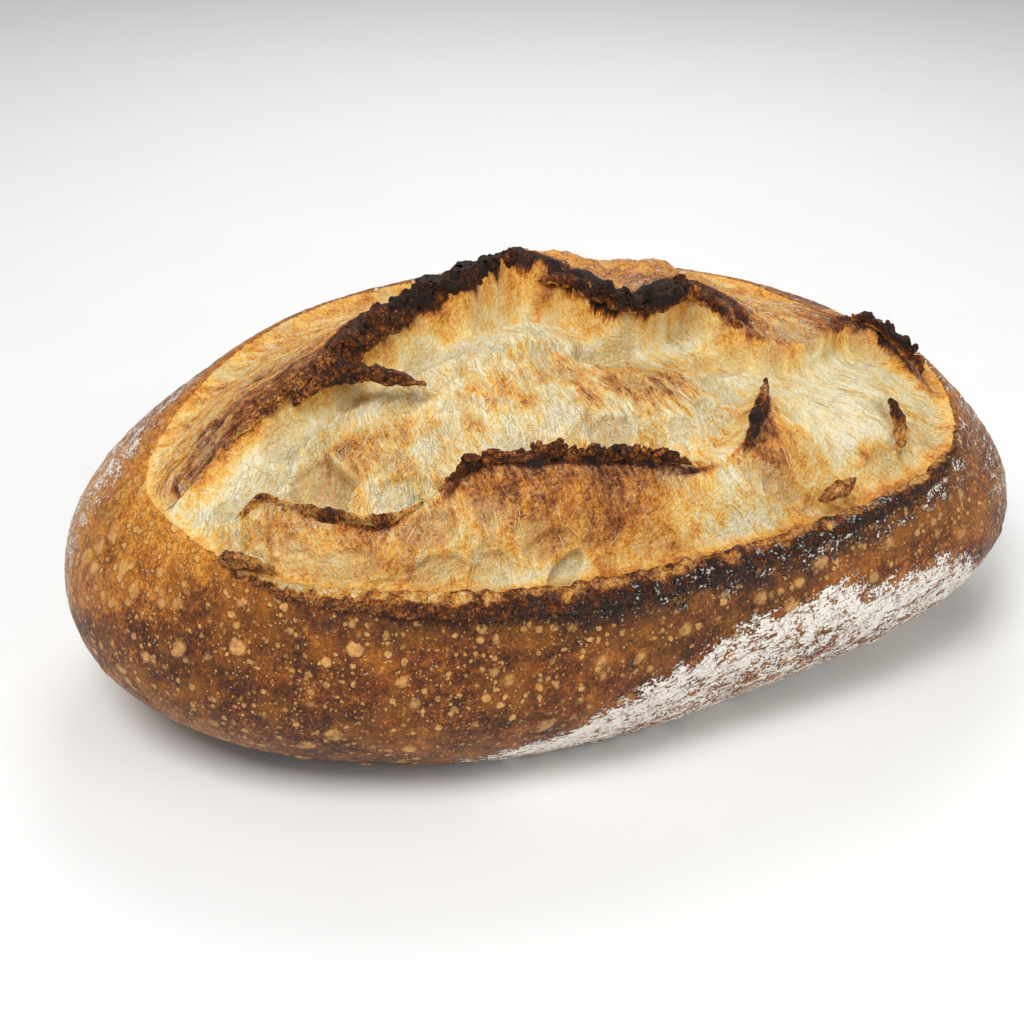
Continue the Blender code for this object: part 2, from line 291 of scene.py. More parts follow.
@dataclass(frozen=True)
class Ridge:
    """A torn ridge: a long slope up to a crest, then a short drop.

    Each row of points has along, girth, rise and how far the crest is baked. The side is +1 where the
    drop is behind the crest, and -1 where it is in front.
    """

    points: tuple
    slope: float
    cliff: float
    recover: float
    drop: float
    side: int
    full_rise: float = 6.0

    def relief(self, places: np.ndarray) -> tuple[np.ndarray, np.ndarray, np.ndarray]:
        """Relief of the ridge.

        Args:
            places: Points in millimetres.

        Returns:
            Relief and distance ahead of the crest in millimetres, and the crest's rise and bake.
        """
        across, values = SurfaceLine(self.points).measure(places)
        ahead = across * self.side
        rise = values[:, 0]
        climb = 1 - ease(0, self.slope, -ahead)
        fall = 1 - ease(0, self.cliff, ahead)
        pit = (1 - fall) * (1 - ease(self.cliff, self.recover, ahead))
        depth = self.drop * np.clip(rise / self.full_rise, 0, 1)
        return rise * np.where(ahead < 0, climb, fall) - depth * pit, ahead, values


FAR = 9.0  # a reach at which a spot does nothing


@dataclass(frozen=True)
class Spot:
    """A round or long patch of the crumb, in millimetres: deeper, paler, darker or greyer."""

    along: float
    girth: float
    half_long: float
    half_across: float
    depth: float = 0.0
    bake: float = 0.0
    gas: float = 0.0
    turn: float = 0.0  # degrees that its long side climbs to the right
    floor: float = 0.3  # flat share of its radius
    layer: float = 30.0  # millimetres above or below the egg that it reaches
    soft: tuple[float, float] = (0.4, 1.15)  # shares of its radius where its bake fades out

    def reach(self, places: np.ndarray) -> np.ndarray:
        """Distance from the middle, where 1 is the edge."""
        middle = EGG.points(np.array([self.along]), np.array([self.girth]))[0]
        normal = EGG.normals(np.array([self.along]), np.array([self.girth]))[0]
        rise = np.cross(normal, (1.0, 0.0, 0.0))
        rise *= np.where(self.girth > 90, -1, 1) / np.linalg.norm(rise)
        rise *= -1 if rise[2] < 0 else 1
        angle = math.radians(self.turn)
        offset = places - middle
        right, up = offset[:, 0], offset @ rise
        flat = np.hypot((right * math.cos(angle) + up * math.sin(angle)) / self.half_long,
                        (up * math.cos(angle) - right * math.sin(angle)) / self.half_across)
        return flat + np.where(np.abs(offset @ normal) > self.layer, FAR, 0)


@dataclass
class Ground:
    """What the tears do at each place."""

    relief: np.ndarray
    inside: np.ndarray
    rim: np.ndarray
    terrace: np.ndarray
    terrace_values: np.ndarray
    ear: np.ndarray
    ear_values: np.ndarray
    bake: np.ndarray
    gas: np.ndarray
    cell_wall: np.ndarray


@dataclass(frozen=True)
class Burst:
    """The oval where the top has torn open, with its ridges and hollows."""

    # along, girth, lip, valley, and how far the edge of the crust is baked
    rim: tuple = (
        (-123, 77, 0.2, 1.2, 0.46), (-121, 64, 0.3, 1.6, 0.45), (-116, 51, 0.5, 2.5, 0.46),
        (-108, 39, 1.2, 4.0, 0.62), (-96, 31, 1.8, 5.5, 0.72), (-78, 26, 2.0, 6.5, 0.80),
        (-54, 22, 2.2, 7.0, 0.88), (-28, 20, 2.2, 7.0, 0.92), (2, 20, 2.2, 6.5, 0.93),
        (30, 22, 2.2, 6.0, 0.90), (58, 26, 2.0, 5.0, 0.86), (80, 31, 1.8, 4.0, 0.84),
        (96, 39, 1.4, 3.0, 0.76), (107, 50, 1.0, 2.4, 0.62), (115, 66, 1.2, 2.4, 0.60),
        (116, 83, 1.0, 2.4, 0.66), (104, 98, 0.4, 2.4, 0.66), (76, 112, 0.4, 2.4, 0.62),
        (38, 123, 2.0, 4.5, 0.66), (-4, 127, 2.0, 4.5, 0.66), (-44, 125, 1.8, 4.5, 0.62),
        (-78, 114, 1.6, 4.0, 0.58), (-102, 103, 1.0, 3.0, 0.54), (-117, 92, 0.5, 2.0, 0.50),
    )
    terrace: Ridge = Ridge(
        points=(
            (-112, 53, 0.0, 0.30), (-99, 56, 3.0, 0.60), (-88, 49, 4.0, 0.62), (-76, 43, 4.5, 0.70),
            (-62, 45, 5.5, 0.58), (-49, 50, 6.5, 0.92), (-32, 47, 7.0, 0.86), (-10, 44, 6.5, 0.90),
            (6, 41, 5.0, 0.74), (18, 42, 4.0, 0.52), (28, 47, 5.5, 0.86), (38, 55, 3.0, 0.76),
            (44, 62, 0.0, 0.40),
        ),
        slope=26.0, cliff=5.0, recover=22.0, drop=3.5, side=1,
    )
    ear: Ridge = Ridge(
        points=(
            (-112, 71, 0.0, 0.45, 6), (-98, 77, 3.0, 0.62, 8), (-84, 80, 5.0, 0.66, 10),
            (-69, 82, 7.0, 0.78, 11),
            (-57, 85, 8.5, 0.86, 12), (-44, 88, 9.5, 0.90, 13), (-30, 91, 10.0, 0.94, 12),
            (-18, 95, 10.0, 0.95, 10), (-6, 98, 9.8, 0.92, 6), (2, 88, 9.0, 0.93, 5), (6, 80, 8.8, 0.97, 7),
            (14, 77, 8.5, 0.98, 7), (23, 79, 8.5, 0.96, 8), (31, 83, 8.5, 0.92, 8), (38, 79, 8.0, 0.86, 9),
            (43, 72, 6.0, 0.74, 6), (54, 68, 4.0, 0.50, 2), (68, 70, 4.0, 0.56, 2), (84, 77, 4.0, 0.74, 4),
            (97, 76, 4.0, 0.86, 5), (102, 66, 2.0, 0.70, 4), (106, 58, 0.0, 0.40, 2),
        ),
        slope=32.0, cliff=5.0, recover=26.0, drop=4.5, side=-1,
    )
    hollows: tuple[Spot, ...] = (
        Spot(-86, 57, 8, 10, 5.4, 0.14, 1.0, floor=0.76), Spot(-12, 90, 14, 8, 5.0, -0.10, 0.2),
        Spot(3, 73, 13, 6, 4.5, 0.02, 0.9, floor=0.5), Spot(36, 68, 10, 6, 3.0, -0.05, 0.5),
        Spot(-64, 39.5, 7.5, 5, 2.8, 0.10, 0.5, floor=0.55),
        Spot(-33, 25, 8.5, 3.6, 3.0, -0.12, 0.8, 42, 0.6),
        Spot(-42, 82, 11, 6, 3.0, -0.15, 0.7, floor=0.5), Spot(-88, 73, 9, 6, 2.5, -0.10, 0.6, 20),
        Spot(28, 106, 46, 20, -8.0, 0.0, floor=0.05),
        Spot(90, 100, 40, 20, 3.0, 0.0, floor=0.1), Spot(2, 92, 9, 5, 4.5, 0.20, 0.1, 10, 0.4),
    )
    cells: tuple[Spot, ...] = (
        Spot(-36, 31.5, 8, 4.2, 1.6, 0.04, 0.4, 15, 0.6), Spot(-86, 36, 9, 5, 1.4, -0.12, 0.5, -10, 0.6),
        Spot(-66, 31, 9, 4.5, 1.5, -0.10, 0.6, 0, 0.6), Spot(-52, 30, 5, 3.5, 1.2, 0.05, 0.3, 30, 0.6),
        Spot(-97, 40, 6, 3.5, 1.2, -0.05, 0.4, -20, 0.6), Spot(-9, 52, 6, 7, 2.2, -0.10, 0.9, 80, 0.6),
        Spot(62, 71, 8, 5, 2.0, -0.02, 0.9, -20, 0.55), Spot(12, 51, 5, 4, 1.4, -0.10, 0.6, 0, 0.6),
        Spot(22, 56, 4, 3, 1.4, -0.10, 0.7, 30, 0.6), Spot(30, 62, 4, 5, 1.6, -0.05, 0.8, 60, 0.6),
        Spot(-70, 51, 6, 4, 1.2, -0.15, 0.5, 30, 0.6), Spot(-100, 63, 6, 5, 1.4, -0.05, 0.5, 40, 0.5),
        Spot(-58, 72, 6, 8, 1.2, -0.05, 0.4, 80, 0.6), Spot(-45, 66, 4, 6, 1.0, 0.0, 0.4, 70, 0.6),
        Spot(-108, 59, 5, 4, 1.4, -0.05, 0.7, 0, 0.6), Spot(15, 79, 7, 4, 2.0, -0.1, 0.5, 0, 0.5),
        Spot(30, 36, 4, 2.5, 1.5, 0.0, 0.9, 40, 0.5), Spot(-25, 30, 4, 3, 1.0, 0.10, 0.2, 0, 0.5),
        Spot(84, 68, 6, 3, 1.2, -0.05, 0.6, -30, 0.6),
    )
    toasts: tuple[Spot, ...] = (
        Spot(-76, 62, 18, 11, 0, 0.22), Spot(-16, 67, 28, 14, 0, 0.10), Spot(9, 64, 16, 14, 0, 0.20),
        Spot(28, 69, 10, 9, 0, 0.12), Spot(-30, 43, 26, 8, 0, 0.06),
        Spot(-16, 36, 14, 10, 0, 0.05), Spot(8, 35, 18, 10, 0, -0.24),
        Spot(18, 42, 14, 9, 0, -0.04), Spot(-101, 80, 12, 9, 0, 0.14), Spot(62, 44, 9, 6, 0, 0.08, turn=-20),
        Spot(-70, 50, 9, 6, 0, -0.16), Spot(-38, 24, 20, 5, 0, -0.22), Spot(-24, 23.5, 5, 4, 0, 0.30),
        Spot(20, 26.5, 20, 6, 0, -0.24, turn=8), Spot(-98, 64, 12, 14, 0, -0.12),
        Spot(22, 75, 18, 5, 0, -0.12),
        Spot(48, 29, 16, 5, 0, 0.12), Spot(-96, 42, 12, 8, 0, -0.06), Spot(80, 86, 14, 10, 0, 0.02),
        Spot(40, 100, 34, 16, 0, 0.06), Spot(50, 92, 12, 8, 0, 0.04),
        Spot(67, 41, 6, 4, 0, 0.24), Spot(-84, 30, 12, 4, 0, -0.12),
        Spot(-56, 60, 12, 10, 0, -0.05), Spot(-30, 56, 18, 8, 0, -0.20), Spot(-25, 51, 10, 4, 0, 0.16),
        Spot(60, 50, 4, 14, 0, -0.12, turn=5), Spot(74, 62, 24, 18, 0, -0.12),
        Spot(-38, 80, 24, 10, 0, -0.12),
        Spot(44, 44, 8, 8, 0, 0.06), Spot(60, 49, 20, 14, 0, -0.30), Spot(84, 62, 5, 9, 0, 0.12),
    )
    # Millimetres in from the rim, where each begins and ends
    lip_start: tuple[float, float] = (-16.0, -1.0)
    lip_end: tuple[float, float] = (-1.0, 3.0)
    wall: tuple[float, float] = (-0.5, 5.0)
    floor_rise: tuple[float, float] = (8.0, 26.0)
    recovery: float = 0.35  # share of the valley's depth that the floor comes back up
    fade: float = 6.0  # millimetres in from the rim where the ridges are whole
    # Distance between swells, and their size, in millimetres
    rim_waver: tuple[float, float] = (9.0, 0.9)
    swell: tuple[float, float] = (45.0, 0.96)
    lumps: tuple[float, float] = (17.0, 1.26)
    hollow_share: float = 0.75  # share of a spot's depth that is dug

    def ground(self, places: np.ndarray) -> Ground:
        """Measures the tears.

        Args:
            places: Points of the egg in millimetres.

        Returns:
            The relief and the distances to each feature.
        """
        inside, rim = SurfaceLine(self.rim, closed=True, samples=700).measure(places)
        inside = inside + self.rim_waver[1] * GRAIN.billows(places, self.rim_waver[0])
        lip, valley, _ = rim.T
        swell = lip * ease(*self.lip_start, inside) * (1 - ease(*self.lip_end, inside))
        floor = 1 - self.recovery * ease(*self.floor_rise, inside)
        relief = swell - valley * ease(*self.wall, inside) * floor
        fade = ease(0, self.fade, inside)
        terrace_relief, terrace, terrace_values = self.terrace.relief(places)
        ear_relief, ear, ear_values = self.ear.relief(places)
        relief += (terrace_relief + ear_relief) * fade
        bake = np.zeros(len(places))
        gas = np.zeros(len(places))
        wall = np.zeros(len(places))
        for spot in self.hollows + self.cells + self.toasts:
            reach = spot.reach(places)
            near = reach < 1.6
            uneven = 0.14 * GRAIN.waves(places[near], 5.0) + 0.08 * GRAIN.waves(places[near], 2.2)
            reach = reach[near] + uneven
            relief[near] -= self.hollow_share * spot.depth * (1 - ease(spot.floor, 1.0, reach))
            bake[near] += spot.bake * (1 - ease(*spot.soft, reach))
            gas[near] = np.maximum(gas[near], spot.gas * (1 - ease(0.82, 0.98, reach)))
            ring = ease(0.84, 0.96, reach) * (1 - ease(1.02, 1.16, reach))
            wall[near] = np.maximum(wall[near], spot.gas * ring)
        relief += self.swell[1] * GRAIN.waves(places, self.swell[0])
        relief += self.lumps[1] * GRAIN.waves(places + 50, self.lumps[0]) * fade
        return Ground(relief, inside, rim, terrace, terrace_values, ear, ear_values, bake, gas, wall)


GRAIN = Grain(11)
BURST = Burst()


class Skin:
    """A mesh in the making, with the numbers that its finish reads at each vertex."""

    def __init__(self) -> None:
        """Starts an empty mesh."""
        self.mesh = bmesh.new()
        self.mesh.verts.layers.int.new("number")
        self.layers = {trait: self.mesh.verts.layers.float.new(trait.value) for trait in Trait}
        self.flow = self.mesh.verts.layers.float_vector.new("flow")

    def read(self) -> np.ndarray:
        """The vertices' places."""
        return np.array([vertex.co for vertex in self.mesh.verts])

    def place(self, points: np.ndarray, traits: dict[Trait, np.ndarray], flow: np.ndarray) -> None:
        """Puts the vertices in place.

        Args:
            points: Places in millimetres.
            traits: Numbers for each vertex.
            flow: How far each vertex is across and along the strands, in millimetres.
        """
        low, high = (np.array(corner) / MM for corner in CAD_BOX)
        kept = np.clip(points, low + BOX_MARGIN, high - BOX_MARGIN) * MM
        columns = [(self.layers[trait], np.clip(values, 0, 1)) for trait, values in traits.items()]
        for index, vertex in enumerate(self.mesh.verts):
            vertex.co = kept[index]
            vertex[self.flow] = flow[index]
            for layer, values in columns:
                vertex[layer] = values[index]

    def balls(self, count: int, sides: int, rings: int) -> np.ndarray:
        """Fills the mesh with balls, each a copy of the first.

        Args:
            count: How many.
            sides: Faces round each.
            rings: Faces from pole to pole.

        Returns:
            The first ball's vertices, in the order that each ball has them.
        """
        bmesh.ops.create_uvsphere(self.mesh, u_segments=sides, v_segments=rings, radius=1.0)
        number = self.mesh.verts.layers.int["number"]
        shape = self.read()
        for index, vertex in enumerate(self.mesh.verts):
            vertex[number] = index
        made = 1
        while made < count:
            limit = min(made, count - made) * len(shape)
            copied = [vertex for vertex in self.mesh.verts if vertex[number] < limit]
            for group in (self.mesh.edges, self.mesh.faces):
                copied += [item for item in group if item.verts[0][number] < limit]
            for item in bmesh.ops.duplicate(self.mesh, geom=copied)["geom"]:
                if isinstance(item, bmesh.types.BMVert):
                    item[number] += made * len(shape)
            made += limit // len(shape)
        self.mesh.verts.sort(key=lambda vertex: vertex[number])
        return shape

    def trim(self, drop: np.ndarray) -> None:
        """Deletes the vertices that drop marks."""
        self.mesh.verts.ensure_lookup_table()
        gone = [self.mesh.verts[index] for index in np.flatnonzero(drop)]
        bmesh.ops.delete(self.mesh, geom=gone, context="VERTS")

    def close(self, depth: float) -> None:
        """Turns the open edge into the loaf and closes it there.

        Args:
            depth: How far the edge goes in, in millimetres.
        """
        rim = [edge for edge in self.mesh.edges if edge.is_boundary]
        made = bmesh.ops.extrude_edge_only(self.mesh, edges=rim)["geom"]
        middle = Vector((0, 0, EGG.waist * MM))
        for vertex in (item for item in made if isinstance(item, bmesh.types.BMVert)):
            vertex.co += (middle - vertex.co).normalized() * depth * MM
        rim = [edge for edge in self.mesh.edges if edge.is_boundary]
        bmesh.ops.holes_fill(self.mesh, edges=rim, sides=0)

    def finish(self, name: str, material: bpy.types.Material) -> bpy.types.Object:
        """Makes the object.

        Args:
            name: The piece's name.
            material: Its finish.

        Returns:
            The object, riding on the loaf.
        """
        bmesh.ops.recalc_face_normals(self.mesh, faces=self.mesh.faces)
        data = bpy.data.meshes.new(name)
        self.mesh.to_mesh(data)
        self.mesh.free()
        data.shade_smooth()
        data.materials.append(material)
        made = bpy.data.objects.new(name, data)
        bpy.context.scene.collection.objects.link(made)
        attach(made, "root")
        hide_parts(NODE)
        LOG.info("%s: %d faces", name, len(data.polygons))
        return made


class Value:
    """A number in a shader, with arithmetic."""

    def __init__(self, paint: "Paint", socket: bpy.types.NodeSocket) -> None:
        """Wraps a socket."""
        self.paint = paint
        self.socket = socket

    def _math(self, operation: str, *inputs: "Value | float", clamp: bool = False) -> "Value":
        """One Math node.

        Args:
            operation: What the node does.
            inputs: Its numbers.
            clamp: Whether the result is kept from 0 to 1.

        Returns:
            The result.
        """
        settings = {"operation": operation, "use_clamp": clamp}
        made = self.paint.node("ShaderNodeMath", settings, dict(enumerate(inputs)))
        return Value(self.paint, made.outputs[0])

    def __add__(self, other: "Value | float") -> "Value":
        """Sum."""
        return self._math("ADD", self, other)

    def __radd__(self, other: float) -> "Value":
        """Sum with the number first."""
        return self._math("ADD", other, self)

    def __sub__(self, other: "Value | float") -> "Value":
        """Difference."""
        return self._math("SUBTRACT", self, other)

    def __rsub__(self, other: float) -> "Value":
        """Difference with the number first."""
        return self._math("SUBTRACT", other, self)

    def __mul__(self, other: "Value | float") -> "Value":
        """Product."""
        return self._math("MULTIPLY", self, other)

    def __rmul__(self, other: float) -> "Value":
        """Product with the number first."""
        return self._math("MULTIPLY", other, self)

    def __abs__(self) -> "Value":
        """Size without its sign."""
        return self._math("ABSOLUTE", self)

    def clamp(self) -> "Value":
        """Kept from 0 to 1."""
        return self._math("ADD", self, 0.0, clamp=True)

    def over(self, low: float, high: float) -> "Value":
        """0 at low, 1 at high, and straight between."""
        return self._math("MULTIPLY_ADD", self, 1 / (high - low), -low / (high - low), clamp=True)

    def larger(self, other: "Value | float") -> "Value":
        """The larger of the two."""
        return self._math("MAXIMUM", self, other)


class Paint:
    """The nodes of one material."""

    def __init__(self, name: str) -> None:
        """Starts a material.

        Args:
            name: The material's name.
        """
        self.material = bpy.data.materials.new(name)
        self.material.use_nodes = True
        self.tree = self.material.node_tree
        self.shader = self.tree.nodes["Principled BSDF"]
        self.place = self.node("ShaderNodeTexCoord", {}, {}).outputs["Object"]

    def node(self, kind: str, settings: dict, sockets: dict) -> bpy.types.Node:
        """One node.

        Args:
            kind: The node's type.
            settings: Set first. The stops of a ramp are pairs of a position and a colour.
            sockets: Values or links, by the name or number of the socket.

        Returns:
            The node.
        """
        made = self.tree.nodes.new(kind)
        for key, setting in settings.items():
            if key != "stops":
                setattr(made, key, setting)
                continue
            steps = made.color_ramp.elements
            for _ in range(len(setting) - len(steps)):
                steps.new(0.5)
            for step, (position, colour) in zip(steps, setting):
                step.position = position
                step.color = (*colour, 1.0)
        for key, value in sockets.items():
            target = made.inputs[key]
            if isinstance(value, Value):
                value = value.socket
            if isinstance(value, bpy.types.NodeSocket):
                self.tree.links.new(value, target)
            else:
                target.default_value = value
        return made

    def trait(self, trait: Trait) -> Value:
        """A number that the mesh carries."""
        settings = {"attribute_type": "GEOMETRY", "attribute_name": trait.value}
        return Value(self, self.node("ShaderNodeAttribute", settings, {}).outputs["Fac"])

    def flow(self, across: float, along: float) -> bpy.types.NodeSocket:
        """Place in the flow of the strands, as shares of two sizes in millimetres."""
        settings = {"attribute_type": "GEOMETRY", "attribute_name": "flow"}
        place = self.node("ShaderNodeAttribute", settings, {}).outputs["Vector"]
        scale = {"Vector": place, "Scale": (1 / across, 1 / along, 1 / across)}
        return self.node("ShaderNodeMapping", {"vector_type": "POINT"}, scale).outputs[0]

    def noise(self, size: float, detail: float = 2.0, place: bpy.types.NodeSocket | None = None,
              twist: float = 0.0) -> Value:
        """Smooth random number from 0 to 1.

        Args:
            size: Distance between swells, in millimetres.
            detail: How many finer layers are added.
            place: Where it is read, or the object's own coordinates.
            twist: How far the pattern bends itself.

        Returns:
            The number.
        """
        scale = 1 / size if place else 1 / (size * MM)
        sockets = {"Vector": place or self.place, "Scale": scale, "Detail": detail, "Distortion": twist}
        return Value(self, self.node("ShaderNodeTexNoise", {}, sockets).outputs["Fac"])

    def mix(self, share: Value, first: "Colour | bpy.types.NodeSocket",
            second: "Colour | bpy.types.NodeSocket") -> bpy.types.NodeSocket:
        """Mixes two colours.

        Args:
            share: How much of the second.
            first: A colour or a socket.
            second: A colour or a socket.

        Returns:
            The mixed colour.
        """
        settings = {"data_type": "RGBA", "clamp_factor": True}
        ends = [(*end, 1.0) if isinstance(end, tuple) else end for end in (first, second)]
        made = self.node("ShaderNodeMix", settings, {0: share, 6: ends[0], 7: ends[1]})
        return made.outputs[2]


@dataclass(frozen=True)
class Baked:
    """Dough from pale crumb to char, by how far it is baked."""

    name: str
    stops: tuple = (
        (0.00, (0.86, 0.78, 0.54)),
        (0.14, (0.85, 0.68, 0.32)),
        (0.29, (0.85, 0.49, 0.10)),
        (0.43, (0.70, 0.28, 0.03)),
        (0.56, (0.43, 0.135, 0.013)),
        (0.68, (0.19, 0.047, 0.005)),
        (0.80, (0.078, 0.020, 0.005)),
        (0.90, (0.034, 0.013, 0.007)),
        (1.00, (0.014, 0.009, 0.007)),
    )
    web_colour: Colour = (0.90, 0.82, 0.58)
    gas_colour: Colour = (0.50, 0.38, 0.19)
    flour_colour: Colour = (0.97, 0.89, 0.80)
    blister_colour: Colour = (0.80, 0.42, 0.13)
    golden_colour: Colour = (0.43, 0.150, 0.010)
    roughness: float = 0.62
    shine: float = 0.3
    # How far unevenness changes the bake, in patches, grains, wide streaks and thin ones
    patchy: float = 0.48
    grainy: float = 0.50
    streaky: float = 0.85
    hairy: float = 0.50
    rough_height: float = 0.7  # millimetres
    crust: bool = False

    def make(self) -> bpy.types.Material:
        """Builds the finish.

        Returns:
            The material.
        """
        paint = Paint(self.name)
        bake, height = self._bake(paint)
        colour = paint.node("ShaderNodeValToRGB", {"stops": self.stops}, {0: bake}).outputs[0]
        roughness = self.roughness + 0.2 * bake.over(0.6, 1.0) - 0.25 * paint.trait(Trait.GAS)
        if self.crust:
            colour, height = self._blisters(paint, bake, colour, height)
        else:
            colour, height = self._strands(paint, bake, colour, height)
        colour, height, roughness = self._flour(paint, colour, height, roughness)
        bump = paint.node("ShaderNodeBump", {}, {"Distance": self.rough_height * MM, "Height": height})
        paint.shader.inputs["Specular IOR Level"].default_value = self.shine
        results = {"Base Color": colour, "Roughness": roughness.socket, "Normal": bump.outputs[0]}
        for socket, result in results.items():
            paint.tree.links.new(result, paint.shader.inputs[socket])
        return paint.material

    def _bake(self, paint: Paint) -> tuple[Value, Value]:
        """How far each point is baked, with fine unevenness.

        Args:
            paint: The material's nodes.

        Returns:
            Bake from 0 to 1, and height for the bump.
        """
        base = paint.trait(Trait.BAKE)
        patchy, fine, grit = paint.noise(3.6, 3.0), paint.noise(1.0, 3.0), paint.noise(0.4, 1.0)
        bake = base + (patchy - 0.5) * self.patchy + (fine - 0.5) * self.grainy
        bake = bake + (grit - 0.5) * (0.7 * self.grainy)
        height = fine * 0.9 + grit * 0.5
        if not self.crust:
            web = paint.trait(Trait.WEB)
            streak = paint.noise(1.0, 3.0, paint.flow(1.9, 16.0), 0.4)
            hair = paint.noise(1.0, 2.0, paint.flow(0.55, 7.0), 0.3)
            bake = bake + ((streak - 0.5) * self.streaky + (hair - 0.5) * self.hairy) * web
            height = height + hair * web * 0.5
        return bake.clamp(), height

    def _strands(self, paint: Paint, bake: Value, colour: bpy.types.NodeSocket,
                 height: Value) -> tuple[bpy.types.NodeSocket, Value]:
        """Pale strands of torn dough and the grey skin of gas holes.

        Args:
            paint: The material's nodes.
            bake: How far the dough is baked.
            colour: Colour so far.
            height: Height so far.

        Returns:
            Colour and height with the strands.
        """
        pale = 1 - bake.over(0.45, 0.80)
        web = paint.trait(Trait.WEB)
        lines = None
        # Across and along in millimetres, detail, twist, and half the width of the line in the noise
        for across, along, detail, twist, width in (
            (0.9, 15.0, 1.0, 0.3, 0.035), (1.9, 20.0, 2.0, 0.8, 0.022), (4.0, 12.0, 2.0, 1.2, 0.012)
        ):
            swell = paint.noise(1.0, detail, paint.flow(across, along), twist)
            line = 1 - abs(swell - 0.5).over(0.0, width)
            lines = line if lines is None else lines.larger(line)
        patches = paint.noise(5.0, 2.0).over(0.38, 0.62)
        net = paint.node("ShaderNodeTexVoronoi", {"feature": "DISTANCE_TO_EDGE"},
                         {"Vector": paint.flow(2.6, 5.2), "Scale": 1.0, "Randomness": 1.0})
        cell = 1 - Value(paint, net.outputs["Distance"]).over(0.0, 0.05)
        lines = (lines * (0.35 + 0.65 * patches)).larger(cell * 0.8 * (1 - patches))
        gas = paint.trait(Trait.GAS)
        veil = paint.noise(0.8, 4.0).over(0.36, 0.62)
        colour = paint.mix(gas * pale * (0.35 + 0.6 * veil), colour, self.gas_colour)
        colour = paint.mix(lines * web * pale * 0.8, colour, self.web_colour)
        return colour, height + lines * web * 0.55

    def _blisters(self, paint: Paint, bake: Value, colour: bpy.types.NodeSocket,
                  height: Value) -> tuple[bpy.types.NodeSocket, Value]:
        """Golden patches and small pale blisters over the crust.

        Args:
            paint: The material's nodes.
            bake: How far the crust is baked.
            colour: Colour so far.
            height: Height so far.

        Returns:
            Colour and height with the blisters.
        """
        clear = 1 - bake.over(0.80, 0.95)
        golden = paint.noise(13.0, 5.0).over(0.47, 0.66) * bake.over(0.45, 0.60) * clear
        colour = paint.mix(golden * 0.38, colour, self.golden_colour)
        mask = paint.trait(Trait.BLISTER)
        crowd = paint.noise(16.0, 2.0).over(0.32, 0.50) * 0.5 + 0.5
        bend = paint.node("ShaderNodeTexNoise", {}, {"Vector": paint.place, "Scale": 600.0, "Detail": 1.0})
        shift = paint.node("ShaderNodeVectorMath", {"operation": "MULTIPLY_ADD"},
                           {0: bend.outputs["Color"], 1: (0.0011,) * 3, 2: paint.place})
        # Millimetres between blisters, their strength, and the share of places without one
        for size, share, least in ((6.2, 0.9, 0.66), (3.6, 1.0, 0.26), (2.2, 1.0, 0.06), (1.1, 0.9, 0.04)):
            spots = paint.node("ShaderNodeTexVoronoi", {"feature": "F1"},
                               {"Vector": shift.outputs[0], "Scale": 1 / (size * MM)})
            number = paint.node("ShaderNodeSeparateColor", {}, {0: spots.outputs["Color"]}).outputs[0]
            radius = Value(paint, number).over(least, 1.0) * 0.46
            dome = (radius - Value(paint, spots.outputs["Distance"])).over(0.0, 0.16)
            mask = mask.larger((dome * share * crowd).over(0.0, 0.7))
        tone = paint.noise(2.4, 2.0).over(0.35, 0.65) * 0.45 + 0.40
        return paint.mix(mask * clear * tone, colour, self.blister_colour), height + mask * 1.2

    def _flour(self, paint: Paint, colour: bpy.types.NodeSocket, height: Value,
               roughness: Value) -> tuple[bpy.types.NodeSocket, Value, Value]:
        """Dusted flour, in grains and streaks.

        Args:
            paint: The material's nodes.
            colour: Colour so far.
            height: Height so far.
            roughness: Roughness so far.

        Returns:
            Colour, height and roughness with the flour.
        """
        grains = paint.noise(0.8, 3.0)
        streaks = paint.noise(1.0, 4.0, paint.flow(2.6, 26.0), 0.8)
        clumps = paint.noise(3.6, 3.0)
        crack = 1 - abs(paint.noise(1.0, 2.0, paint.flow(3.4, 24.0), 0.9) - 0.5).over(0.0, 0.03)
        dust = paint.trait(Trait.FLOUR) * 1.40 + (grains - 0.5) * 4.0 - crack * 1.2
        dust = dust + (streaks - 0.5) * 1.8 + (clumps - 0.5) * 3.2
        share = dust.over(0.60, 0.85) * paint.trait(Trait.FLOUR).over(0.02, 0.12)
        if self.crust:
            specks = paint.node("ShaderNodeTexVoronoi", {"feature": "F1"},
                                {"Vector": paint.place, "Scale": 1 / (1.9 * MM)})
            dot = 1 - Value(paint, specks.outputs["Distance"]).over(0.09, 0.13)
            share = share.larger(dot * paint.noise(9.0, 2.0).over(0.50, 0.60) * 0.7)
        return (paint.mix(share * 0.97, colour, self.flour_colour), height + share * 0.6,
                roughness + share * 0.25)


FAN_MIDDLE = -40.0  # where along the loaf the strands run straight down
FAN_HEIGHT = 260.0  # millimetres of surface from the front to where the strands would meet


def streaks(along: np.ndarray, girth: np.ndarray, places: np.ndarray) -> np.ndarray:
    """Place across and along the strands, which fan out down the loaf.

    Args:
        along: Distance from the middle, in millimetres.
        girth: Angle in degrees.
        places: Points in millimetres.

    Returns:
        One row of three numbers for each place.
    """
    arc = girth * ARC
    across = (along - FAN_MIDDLE) * (FAN_HEIGHT / 2) / np.maximum(FAN_HEIGHT - arc, 40)
    across = across + 3.0 * GRAIN.waves(places, 24.0)
    return np.stack([across, arc, 4.0 * GRAIN.waves(places + 9, 18.0)], -1)


